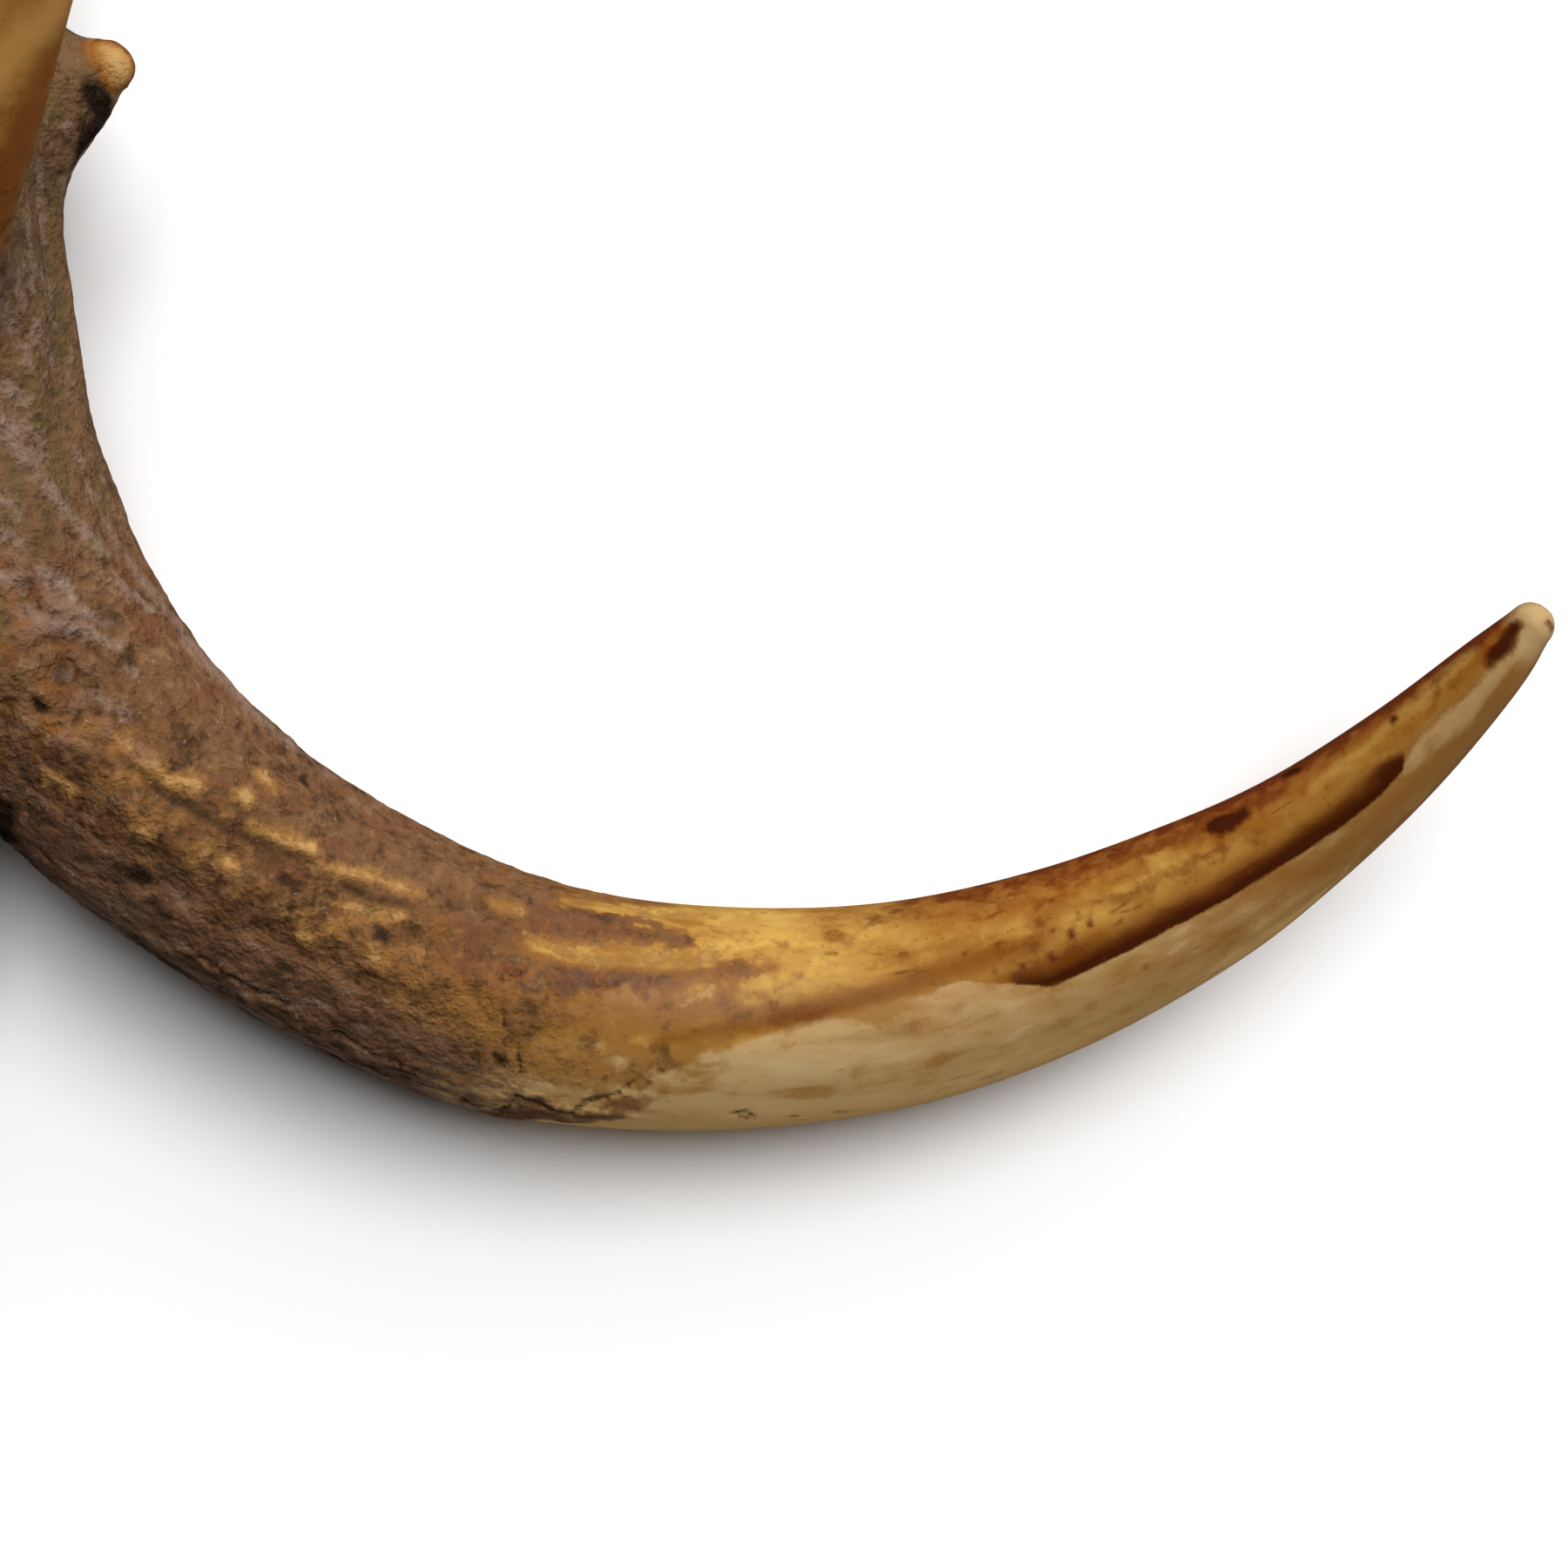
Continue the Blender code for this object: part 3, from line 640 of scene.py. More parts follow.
# %% Marks on the polished bone
POLISH_MARKS = {
    "stripe": (
        ((1170, 1125, 3), (1198, 1122, 8), (1246, 1101, 14), (1297, 1076, 17), (1355, 1046, 18),
         (1410, 1013, 19), (1460, 981, 19), (1513, 946, 19), (1556, 915, 17), (1590, 892, 13),
         (1610, 878, 6)),
    ),
    "amber_band": (
        ((760, 1194, 5), (800, 1188, 7), (838, 1178, 9), (870, 1172, 12), (905, 1166, 14), (940, 1158, 13),
         (985, 1146, 12), (1035, 1132, 11), (1090, 1112, 10), (1150, 1093, 8), (1190, 1084, 6)),
        ((1146, 1128, 3), (1185, 1118, 7), (1218, 1102, 9), (1262, 1078, 7)),
        ((925, 1196, 1), (970, 1192, 3), (1010, 1188, 6), (1030, 1184, 8), (1048, 1180, 9)),
        ((1081, 1156, 2), (1096, 1159, 6), (1104, 1153, 5)),
    ),
    "red_stain": (
        ((880, 1168, 5), (900, 1168, 10), (930, 1164, 8), (955, 1158, 4)),
        ((945, 1068, 6), (951, 1073, 6), (978, 1075, 4), (1006, 1059, 4), (1034, 1044, 5)),
        ((1130, 1040, 6), (1180, 1018, 7), (1230, 1004, 8), (1280, 990, 9), (1340, 966, 11)),
        ((1340, 966, 11), (1378, 950, 13), (1420, 930, 11), (1470, 908, 9)),
        ((1020, 1040, 5), (1060, 1034, 6), (1110, 1030, 7)), ((1150, 1087, 3), (1186, 1088, 6)),
        ((1280, 1030, 6), (1292, 1027, 6)), ((1212, 1012, 3), (1222, 1006, 4)),
        ((1194, 1038, 3), (1206, 1033, 4)), ((1262, 1034, 3), (1274, 1030, 4)),
        ((1230, 1060, 3), (1246, 1053, 4)), ((1188, 1066, 3), (1196, 1062, 3)),
        ((1318, 1004, 3), (1330, 999, 3)), ((1238, 1011, 5), (1248, 1006, 5)),
        ((1434, 962, 6), (1442, 966, 5)), ((1500, 878, 6), (1560, 842, 5), (1610, 806, 5), (1660, 770, 5)),
        ((1652, 796, 4), (1664, 788, 6)), ((1192, 1104, 4), (1222, 1100, 9), (1240, 1094, 5)),
        ((1300, 1022, 6), (1350, 1000, 9), (1400, 976, 7)),
    ),
    "dark_blot": (
        ((1395, 947, 13), (1412, 943, 15), (1424, 936, 12)),
        ((1710, 760, 6), (1724, 742, 11), (1738, 720, 8)), ((1478, 888, 7), (1490, 884, 6)),
        ((1176, 1001, 5), (1192, 999, 5)), ((1262, 972, 4), (1276, 966, 4)), ((1210, 1100, 5),),
        ((1173, 1111, 3),), ((1107, 1095, 3),), ((1241, 1091, 2.5),), ((1252, 1061, 2.5),),
        ((1231, 1072, 4),), ((1207, 1069, 2.5),), ((1161, 1028, 3),), ((1207, 1033, 2.5),),
        ((1777, 714, 3), (1781, 720, 4)), ((1600, 825, 3.5),), ((757, 1231, 2),), ((1314, 1112, 1.8),),
        ((850, 1280, 1.2), (858, 1283, 1.2)), ((908, 1281, 0.8), (916, 1280, 0.8)),
        ((960, 1275, 0.8), (972, 1275, 0.8)),
    ),
    # A painted highlight streak along the top of the brow tine near its tip.
    "tip_glow": (((1510, 902, 3), (1560, 864, 5), (1610, 820, 6), (1655, 781, 6), (1690, 749, 4)),),
    "pale_wedge": (
        ((1618, 886, 9), (1634, 872, 17), (1662, 846, 20), (1690, 816, 19), (1716, 786, 16),
         (1740, 752, 12), (1752, 728, 8)),
    ),
    "cream": (((1752, 700, 9), (1766, 704, 15), (1776, 714, 12), (1768, 728, 10), (1756, 742, 7)),),
}

# %% The ivory's edge, from left to right
WORN_EDGE = ((560, 1180), (640, 1190), (700, 1200), (753, 1211), (820, 1205), (860, 1197), (891, 1183),
             (935, 1174), (955, 1166), (1006, 1154), (1053, 1143), (1103, 1126), (1156, 1129),
             (1210, 1133), (1258, 1110), (1311, 1083), (1379, 1049), (1442, 1012), (1500, 976),
             (1549, 942), (1588, 911), (1611, 884), (1613, 862), (1624, 842), (1640, 826), (1653, 815),
             (1670, 808), (1682, 790), (1704, 771), (1719, 757), (1736, 741), (1744, 723), (1746, 699))


# %% Depth inside strokes
FAR_FROM_STROKES = 5.0


def stroke_depth(points, strokes):
    """How deep each point lies inside the nearest stroke, in millimetres, or minus the distance to it."""
    depth = np.full(len(points), -FAR_FROM_STROKES)
    for stroke in strokes:
        stroke = stroke if len(stroke) > 1 else stroke * 2
        places = np.array([on_bone(place) for place in stroke])
        widths = np.array([place[2] for place in stroke]) * MM_PER_PIXEL
        margin = widths.max() + FAR_FROM_STROKES
        near = ((points > places.min(axis=0) - margin) & (points < places.max(axis=0) + margin)).all(axis=1)
        close = points[near]
        best = depth[near]
        for start, end, first_width, last_width in zip(places[:-1], places[1:], widths[:-1], widths[1:]):
            edge = end - start
            share = np.clip((close - start) @ edge / max(edge @ edge, 1e-9), 0.0, 1.0)
            width = first_width + share * (last_width - first_width)
            distance = np.linalg.norm(close - start - share[:, None] * edge, axis=1)
            best = np.maximum(best, width - distance)
        depth[near] = best
    return depth


def keep(mesh, name, values):
    """Store one value, or one vector, for each point of the mesh."""
    kind, field = ("FLOAT_VECTOR", "vector") if values.ndim == 2 else ("FLOAT", "value")
    attribute = mesh.attributes.get(name) or mesh.attributes.new(name, kind, "POINT")
    attribute.data.foreach_set(field, values.astype(np.float32).ravel())


MARKS = BEAM_MARKS | BARK_END_MARKS | POLISH_MARKS
skin_points = vectors_of(skin.vertices, "co")
for mark, strokes in MARKS.items():
    keep(skin, mark, stroke_depth(skin_points, strokes))
print("stored", len(MARKS), "kinds of marks for", len(skin_points), "points")

# %% [markdown]
# ## Grain
# Bark and stains run along the growth of the bone, round every bend. Three numbers follow it: two give
# the place round the branch as on a circle, so there is no seam, and the third is the length grown.
# Below the fork the beam and the brow tine share them, so the streaks flow from one into the other.

# %% What each branch says, blended where branches meet
BLEND_WIDTH = 3.0
found = [branch.nearest(skin_points) for branch in BRANCHES]
outside = np.array([result[0] for result in found])
weights = np.exp((outside.min(axis=0) - outside) / BLEND_WIDTH)
weights /= weights.sum(axis=0)


def shared(measure):
    """A measure of branch, length along and angle around, blended over the branches."""
    return sum((weight * measure(branch, along, around).T).T
               for weight, branch, (_, _, along, around) in zip(weights, BRANCHES, found))


# %% Growth coordinates
FORK_LENGTH = 67.0


def grain_turn(branch, around):
    """The angle round the branch, which the beam counts the other way so that it joins the brow tine's."""
    return -around if branch.name == "main_beam" else around


def grain_of(branch, along, around):
    """Place round the branch and length grown, in millimetres."""
    radius = np.interp(along, branch.along, branch.radii)
    turn = grain_turn(branch, around)
    if branch.name == "main_beam":
        grown = FORK_LENGTH - along
    elif branch.name == "brow_tine":
        grown = along
    else:
        grown = FORK_LENGTH - BRANCHES[0].nearest(branch.centres[:1])[2] + along
    return np.stack((radius * np.cos(turn), radius * np.sin(turn), grown), axis=1)


grain = shared(grain_of)
print("grown lengths run from", round(float(grain[:, 2].min())), "to", round(float(grain[:, 2].max())), "mm")

# %% [markdown]
# More numbers come from the branches: how far the bark still is from its end, how deep a point lies in
# the worn, ivory side, how near it is to the tip, and which way its side of the bone faces.

# %% Bark, worn side and tip
TINE_WORN_TURN = 0.1
BEZ_ABOVE_IVORY = 5.0
edge_places = np.array([on_bone(place) for place in WORN_EDGE])
_, _, edge_along, edge_around = BRANCHES[1].nearest(edge_places)
order = np.argsort(edge_along)


def worn_depth(branch, along, around):
    """How deep the point lies in the ivory side, in millimetres; the bez tine has no such side."""
    if branch.name == "bez_tine":
        return np.full(len(along), -BEZ_ABOVE_IVORY)
    turn = np.full(len(along), TINE_WORN_TURN)
    if branch.name == "brow_tine":
        turn = np.interp(along, edge_along[order], edge_around[order])
    radius = np.interp(along, branch.along, branch.radii)
    return radius * np.sin(around - turn)


facing_up = shared(lambda branch, along, around: np.cos(around))
MEASURES = {
    "grain": grain, "place": skin_points, "grown": grain[:, 2],
    "bark": shared(lambda branch, along, around: BARK_ENDS[branch.name] - along),
    "worn": shared(worn_depth),
    "to_tip": shared(lambda branch, along, around: branch.along[-1] - along),
    "side_turn": shared(lambda branch, along, around: np.sin(grain_turn(branch, around))),
    "level": np.abs(facing_up),
    "shed_face": shed_face_distance(skin_points),
}
for name, numbers in MEASURES.items():
    keep(skin, name, numbers)
print("the ivory's edge runs from", round(float(edge_along.min())), "to", round(float(edge_along.max())),
      "mm along the brow tine")

# %% [markdown]
# ## One helper for every node
# Node trees are built by hand in this script. One small function adds a node, sets its properties, links
# or sets its inputs in order, and gives back its first output.


# %% Adding a node
MATH = "ShaderNodeMath"
RANGE = "ShaderNodeMapRange"
MIX = "ShaderNodeMix"
VECTOR_MATH = "ShaderNodeVectorMath"


def add(tree, kind, *inputs, **settings):
    """Add a node; inputs that are sockets are linked, others are set, and None leaves one as it is."""
    node = tree.nodes.new(kind)
    for name, value in settings.items():
        setattr(node, name, value)
    for socket, value in zip([socket for socket in node.inputs if socket.enabled], inputs):
        if isinstance(value, bpy.types.NodeSocket):
            tree.links.new(value, socket)
        elif value is not None:
            socket.default_value = value
    return next((socket for socket in node.outputs if socket.enabled), None)


# %% [markdown]
# Both the relief and the finish are made from streaks of noise that run with the grain, from sums of
# such patterns and stored numbers, and from soft steps that turn a sum into a mask.

# %% Streaks, sums and masks
NOISE_RANGE = (0.36, 0.64)
LACUNARITY = 2.0


def streaks(tree, grain, across, length, shift=0.0, detail=2.0, roughness=0.5, swirl=0.0):
    """Noise from about -1 to 1 in streaks along the grain; across and length are in millimetres."""
    scaled = add(tree, VECTOR_MATH, grain, (1 / across, 1 / across, 1 / length), operation="MULTIPLY")
    noise = add(tree, "ShaderNodeTexNoise", scaled, shift, 1.0, detail, roughness, LACUNARITY, swirl,
                noise_dimensions="4D")
    return add(tree, RANGE, noise, *NOISE_RANGE, -1.0, 1.0, clamp=False)


def patterns(tree, grain, place, long_ones, round_ones):
    """The patterns of two tables by name: those along the grain, and those as long as wide."""
    made = {name: streaks(tree, grain, *numbers) for name, numbers in long_ones.items()}
    for name, (size, *numbers) in round_ones.items():
        made[name] = streaks(tree, place, size, size, *numbers)
    return made


def sum_of(tree, bone, *pairs, **weights):
    """Values in pairs with their weights, and the bone's own by name, each times its weight, added up."""
    result = 0.0
    for value, weight in (*pairs, *((bone[name], weight) for name, weight in weights.items())):
        result = add(tree, MATH, value, weight, result, operation="MULTIPLY_ADD")
    return result


def mask_of(tree, value, start, full, cover=1.0, *others):
    """A soft step from nothing at start to cover at full, times any other masks."""
    mask = add(tree, RANGE, value, start, full, 0.0, cover, interpolation_type="SMOOTHSTEP")
    for other in others:
        mask = add(tree, MATH, mask, other, operation="MULTIPLY")
    return mask


# %% [markdown]
# ## The relief of the bark
# Fine wrinkles, lumps and pits cover the bark, pearls stand on it, and where the photo shows a ridge, a
# groove or a crack, it is raised or sunk there. All of it follows a rule over the whole skin, so it is
# made by Geometry Nodes: the tree reads the stored numbers and moves each point along its normal.

# %% How high the relief is, in millimetres
RELIEF_INPUTS = {"Bark height": 0.2, "Wrinkle height": 0.09, "Low side wrinkle height": 0.17,
                 "Lump height": 0.34, "Knuckle height": 0.5, "Pit depth": 0.16, "Pearl height": 0.9,
                 "Pearl radius": 1.5, "Pearl spacing": 5.0, "Drawn pearl height": 0.6, "Crack depth": 0.4,
                 "Groove depth": 0.3, "Ridge height": 0.4, "Hollow depth": 0.8, "Grit height": 0.25}
STORED = tuple(MARKS) + ("bark", "side_turn", "level", "shed_face", "pearl_crowd")

# %% [markdown]
# Each pattern has a real size. Along the grain they are the bark's ragged tongues, 4.5 mm wide and 11 mm
# long, the folds of 2 by 6 mm on its low side, and swellings of 9 by 40 mm. As long as wide are lumps of
# 5.5 mm, knobs of 3.2 mm, pits of 2.8 mm, wrinkles of 2.2 mm and the nicks of 0.8 mm that fray a crack.

# %% Patterns of the relief: size in millimetres, shift, detail, roughness, swirl
EDGE_LONG = {"tongue": (4.5, 11.0, 1.0, 4.0, 0.58, 0.6)}
EDGE_ROUND = {"ragged": (2.2, 1.5, 3.0, 0.55, 0.2)}
RELIEF_LONG = {"fold": (2.0, 6.0, 2.5, 2.5, 0.52, 0.3), "swelling": (9.0, 40.0, 6.0, 1.0),
               "break_grit": (1.4, 1.4, 7.0, 2.0)}
RELIEF_ROUND = {"lump": (5.5, 3.0, 2.5, 0.48, 0.1), "knob": (3.2, 3.5, 2.0, 0.45, 0.1),
                "fine": (2.2, 2.0, 2.0, 0.5, 0.05), "pit": (2.8, 4.0, 2.0, 0.5, 0.05),
                "nick": (0.8, 5.0, 3.0, 0.6)}

# %% [markdown]
# Where the bark ends it is ragged: tongues of it run out along the grain. Relief and finish both need to
# know where it lies, so one function works it out for both trees from the same streaks.


# %% Where the bark lies
def bark_left(tree, bone):
    """Millimetres of bark left before its ragged end; below zero it is worn away."""
    band = mask_of(tree, sum_of(tree, bone, bark_band=1.0, ragged=0.9), -1.8, 1.4, 30.0)
    bare = mask_of(tree, sum_of(tree, bone, bare_patch=1.0, ragged=0.9), -2.0, 1.4, 40.0)
    knob = mask_of(tree, bone["knob_gold"], -3.4, -1.2, 60.0)
    return sum_of(tree, bone, (knob, -1.0), (bone["bark"], 1.0), (bone["tongue"], 10.0),
                  (bone["ragged"], 7.0), (band, 1.0), (bare, -1.0))


# %% The heights
def bark_heights(tree, bone, given):
    """Every kind of relief with its height, and the mask of the bark."""
    on_bark = mask_of(tree, bark_left(tree, bone), -12.0, 12.0)
    low_side = mask_of(tree, bone["side_turn"], 0.45, 0.85, 1.0, on_bark)
    on_top = mask_of(tree, bone["level"], 0.0, 0.7, 0.8, on_bark)
    knuckle = mask_of(tree, bone["knuckle"], -2.5, 2.5)
    where = {"lump": on_top, "knob": knuckle, "fine": on_bark, "fold": low_side}
    lying = {name: add(tree, MATH, bone[name], mask, operation="MULTIPLY") for name, mask in where.items()}
    pits = mask_of(tree, bone["pit"], 0.4, 1.0, 1.0, on_top)
    cracks = mask_of(tree, sum_of(tree, bone, crack=1.0, nick=0.25), -0.4, 0.2)
    heights = ((on_bark, given["Bark height"], 1.0), (lying["fine"], given["Wrinkle height"], 1.0),
               (lying["fold"], given["Low side wrinkle height"], 1.0),
               (lying["lump"], given["Lump height"], 1.0), (lying["knob"], given["Knuckle height"], 1.0),
               (pits, given["Pit depth"], -1.0), (cracks, given["Crack depth"], -1.0),
               (mask_of(tree, bone["ridge_line"], -1.4, 0.6), given["Ridge height"], 1.0),
               (mask_of(tree, bone["groove"], -0.9, 0.5), given["Groove depth"], -1.0),
               (mask_of(tree, bone["hollow"], -0.5, 0.6), given["Hollow depth"], -1.0))
    return heights, on_bark


# %% The pearls
PEARLS_A_SQUARE_MM = 0.02


def pearl_height(tree, bone, given, on_bark):
    """Pearls scattered round the foot of the beam, and those that the photo shows."""
    chance = add(tree, MATH, on_bark, bone["pearl_crowd"], operation="MULTIPLY")
    spots = add(tree, "GeometryNodeDistributePointsOnFaces", given["Geometry"], None, given["Pearl spacing"],
                PEARLS_A_SQUARE_MM, chance, given["Seed"], distribute_method="POISSON")
    apart = add(tree, "GeometryNodeProximity", spots, target_element="POINTS").node.outputs["Distance"]
    grown = mask_of(tree, apart, given["Pearl radius"], 0.0, given["Pearl height"])
    drawn = mask_of(tree, bone["pearl_mark"], -0.8, 1.4, given["Drawn pearl height"])
    return add(tree, MATH, grown, drawn, operation="MAXIMUM")


# %% The tree
def bark_relief_tree(finish):
    """Geometry Nodes that raise the bark's relief, store it, and give the skin its material."""
    tree = bpy.data.node_groups.new("bark relief", "GeometryNodeTree")
    face = tree.interface
    face.new_socket("Geometry", in_out="INPUT", socket_type="NodeSocketGeometry")
    for name, value in RELIEF_INPUTS.items():
        face.new_socket(name, in_out="INPUT", socket_type="NodeSocketFloat").default_value = value
    face.new_socket("Seed", in_out="INPUT", socket_type="NodeSocketInt")
    face.new_socket("Geometry", in_out="OUTPUT", socket_type="NodeSocketGeometry")
    given = add(tree, "NodeGroupInput").node.outputs
    named = "GeometryNodeInputNamedAttribute"
    grain, place = (add(tree, named, name, data_type="FLOAT_VECTOR") for name in ("grain", "place"))
    bone = {name: add(tree, named, name, data_type="FLOAT") for name in STORED}
    bone.update(patterns(tree, grain, place, EDGE_LONG | RELIEF_LONG, EDGE_ROUND | RELIEF_ROUND))

    heights, on_bark = bark_heights(tree, bone, given)
    pearl = pearl_height(tree, bone, given, on_bark)
    height = pearl
    for shape, rise, sign in heights:
        signed = add(tree, MATH, rise, sign, operation="MULTIPLY")
        height = add(tree, MATH, shape, signed, height, operation="MULTIPLY_ADD")
    height = sum_of(tree, bone, (height, 1.0), swelling=0.08)
    shed = mask_of(tree, bone["shed_face"], -0.9, -0.3)
    grit = add(tree, MATH, bone["break_grit"], given["Grit height"], operation="MULTIPLY")
    height = add(tree, MIX, shed, height, grit, data_type="FLOAT")

    away = add(tree, VECTOR_MATH, add(tree, "GeometryNodeInputNormal"), height, operation="SCALE")
    store = "GeometryNodeStoreNamedAttribute"
    skin_kept = add(tree, store, given["Geometry"], None, "relief", height, data_type="FLOAT")
    skin_kept = add(tree, store, skin_kept, None, "pearl", pearl, data_type="FLOAT")
    raised_skin = add(tree, "GeometryNodeSetPosition", skin_kept, None, None, away)
    real = add(tree, "GeometryNodeRealizeInstances", raised_skin)
    add(tree, "NodeGroupOutput", add(tree, "GeometryNodeSetMaterial", real, None, finish))
    return tree


# %% [markdown]
# ## The finish
# Antler bone is dense and takes a dull polish. Its bark is stained by earth and sap, greyed by dust on the
# ridges and blackened in the grooves. Worn ends show amber where the stain went in deep and ivory where it
# was rubbed through. Light is painted in too: a painted highlight on the tops of the relief, on the stunted
# point, on the bez tine and near the brow tine's tip, a painted sheen along the beam's edge, painted light
# on the ivory's lower edge, and painted shade in the relief's hollows, on the bez tine and under the stunted
# point. One material paints it all in layers, each laid over the one before through a mask, as a restorer
# would build up stains.

# %% Colours
def colour(code):
    """An sRGB hex code as linear colour."""
    channels = [int(code[place:place + 2], 16) / 255 for place in (1, 3, 5)]
    linear = [value / 12.92 if value <= 0.04045 else ((value + 0.055) / 1.055) ** 2.4 for value in channels]
    return (*linear, 1.0)


BARK_BROWN = colour("#704e33")
BARK_DEEP = colour("#48301e")
BARK_LIGHT = colour("#8a6746")
BARK_RED = colour("#6e432b")
BARK_TAWNY = colour("#5b3d23")
BARK_OCHRE = colour("#7c552e")
BARK_GOLD = colour("#956a3a")
OCHRE_LIGHT = colour("#bb9156")
BARK_UMBER = colour("#664732")
BARK_DIRT = colour("#2a1f11")
BARK_BLACK = colour("#170d06")
BEAM_BROWN = colour("#725338")
BEAM_DEEP = colour("#453220")
BEAM_OLIVE = colour("#655132")
LILAC_DUST = colour("#887061")
DUST_WHITE = colour("#b09b8d")
KNUCKLE_PINK = colour("#86604a")
WRINKLE_TOP = colour("#7f6552")
AMBER = colour("#834e1f")
TAN = colour("#855628")
TAN_DARK = colour("#5a3b20")
HONEY = colour("#ad823c")
HONEY_LIGHT = colour("#c39c4c")
HONEY_DEEP = colour("#8a5a20")
IVORY = colour("#b49464")
IVORY_LIGHT = colour("#c4a87c")
IVORY_GOLD = colour("#926730")
IVORY_SHADE = colour("#855824")
RIM_BROWN = colour("#80440b")
RIM_RED = colour("#5f2406")
BAND_AMBER = colour("#804c08")
BAND_BROWN = colour("#6b3e06")
BAND_RED = colour("#622a04")
PURPLE_BARK = colour("#6a3f24")
STRIPE_BROWN = colour("#361103")
STRIPE_WARM = colour("#5b2a04")
BLOT_BROWN = colour("#350f03")
TIP_CREAM = colour("#b6986a")
IVORY_EDGE = colour("#d9ac66")
ISLAND_GOLD = colour("#875e2e")
WEDGE_PALE = colour("#ab8a5a")
BEZ_GOLD = colour("#bd8a49")
SHED_BONE = colour("#a58d68")

# %% [markdown]
# The patterns of the finish have real sizes. The pores of antler are 0.1 to 0.2 mm wide, about a pixel
# of the photo, so the grit that stands for them is drawn at 0.45 mm, as coarse as it needs to show. Specks
# of dirt are 0.9 mm, flecks 1.1 mm, mottling 2.5 mm, clouds of dirt 3.2 mm, patches 4.6 mm and clouds of
# tone 9 mm. Along the grain, wrinkles are 1.4 by 4.5 mm, smears 1.3 by 5 mm, haze 3.6 by 8 mm and stains
# of sap 5 by 34 mm.

# %% Patterns of the finish: size in millimetres, shift, detail, roughness, swirl
FINISH_ROUND = {
    "grit": (0.45, 10.0, 3.0, 0.65), "fleck": (1.1, 11.0, 2.0, 0.5), "mottle": (2.5, 12.0, 2.5, 0.5, 0.2),
    "patch": (4.6, 13.0, 2.5, 0.5, 0.3), "cloud": (9.0, 14.0, 2.0, 0.5, 0.3),
    "dirt_cloud": (3.2, 16.0, 3.5, 0.58, 0.2), "speckle": (0.9, 20.0, 2.0, 0.5),
}
FINISH_LONG = {
    "wrinkle": (1.4, 4.5, 15.0, 2.5, 0.5, 0.1), "stain": (5.0, 34.0, 17.0, 4.0, 0.55),
    "smear": (1.3, 5.0, 18.0, 3.0, 0.55), "haze": (3.6, 8.0, 19.0, 2.5, 0.5, 0.4),
}


# %% Painting in layers
def paint(tree, ground, *layers):
    """Lay colours over the ground; a layer is a colour, what places it, start, full, cover, masks."""
    for tint, place, *extent in layers:
        ground = add(tree, MIX, mask_of(tree, place, *extent), ground, tint, data_type="RGBA")
    return ground


# %% The bark's colours
def paint_bark(tree, bone):
    """Brown bark with an ochre band in the middle and an umber side below."""
    tone = sum_of(tree, bone, mottle=0.6, fleck=0.35, grit=0.2, cloud=0.3)
    side = sum_of(tree, bone, side_turn=1.0, cloud=0.12, mottle=0.1)
    off_middle = add(tree, MATH, add(tree, MATH, side, 0.02), operation="ABSOLUTE")
    middle = mask_of(tree, off_middle, 0.6, 0.2, 1.0, mask_of(tree, bone["grown"], 30.0, 60.0))
    ochre = sum_of(tree, bone, patch=0.9, fleck=0.25, grit=0.1)
    dirty = sum_of(tree, bone, (middle, 0.2), dirt_cloud=1.0, grit=0.15)
    return paint(
        tree, BARK_BROWN,
        (BARK_TAWNY, middle, 0.0, 1.0, 0.8),
        (BARK_DEEP, tone, 0.0, -1.1, 0.8), (BARK_LIGHT, tone, 0.1, 1.2, 0.7),
        (BARK_RED, bone["patch"], -0.2, -1.0, 0.6),
        (BARK_OCHRE, ochre, -0.4, 0.8, 0.85, middle), (BARK_GOLD, ochre, 0.4, 1.4, 0.8, middle),
        (BARK_UMBER, side, 0.2, 0.6, 0.85),
        (BARK_DEEP, tone, 0.0, -0.9, 0.4), (BARK_DIRT, dirty, 0.5, 1.4, 0.75))


# %% The beam's bark
def paint_beam(tree, bark, bone):
    """The beam is greyer and more olive than the elbow, with dust on its ridges."""
    tone = sum_of(tree, bone, wrinkle=0.35, fleck=0.35, mottle=0.45, grit=0.3)
    dusty = sum_of(tree, bone, (tone, 0.8), cloud=0.5)
    start = sum_of(tree, bone, grown=-1.0, patch=8.0)
    beam = paint(tree, BEAM_BROWN, (BEAM_OLIVE, bone["patch"], -0.3, 0.8, 0.8),
                 (BARK_RED, bone["cloud"], 0.3, 1.2, 0.2),
                 (BEAM_DEEP, tone, -0.1, -1.1, 0.7), (LILAC_DUST, dusty, 0.35, 1.1, 0.7),
                 (DUST_WHITE, dusty, 0.9, 1.8, 0.4))
    return paint(tree, bark, (beam, start, -46.0, -18.0, 1.0))


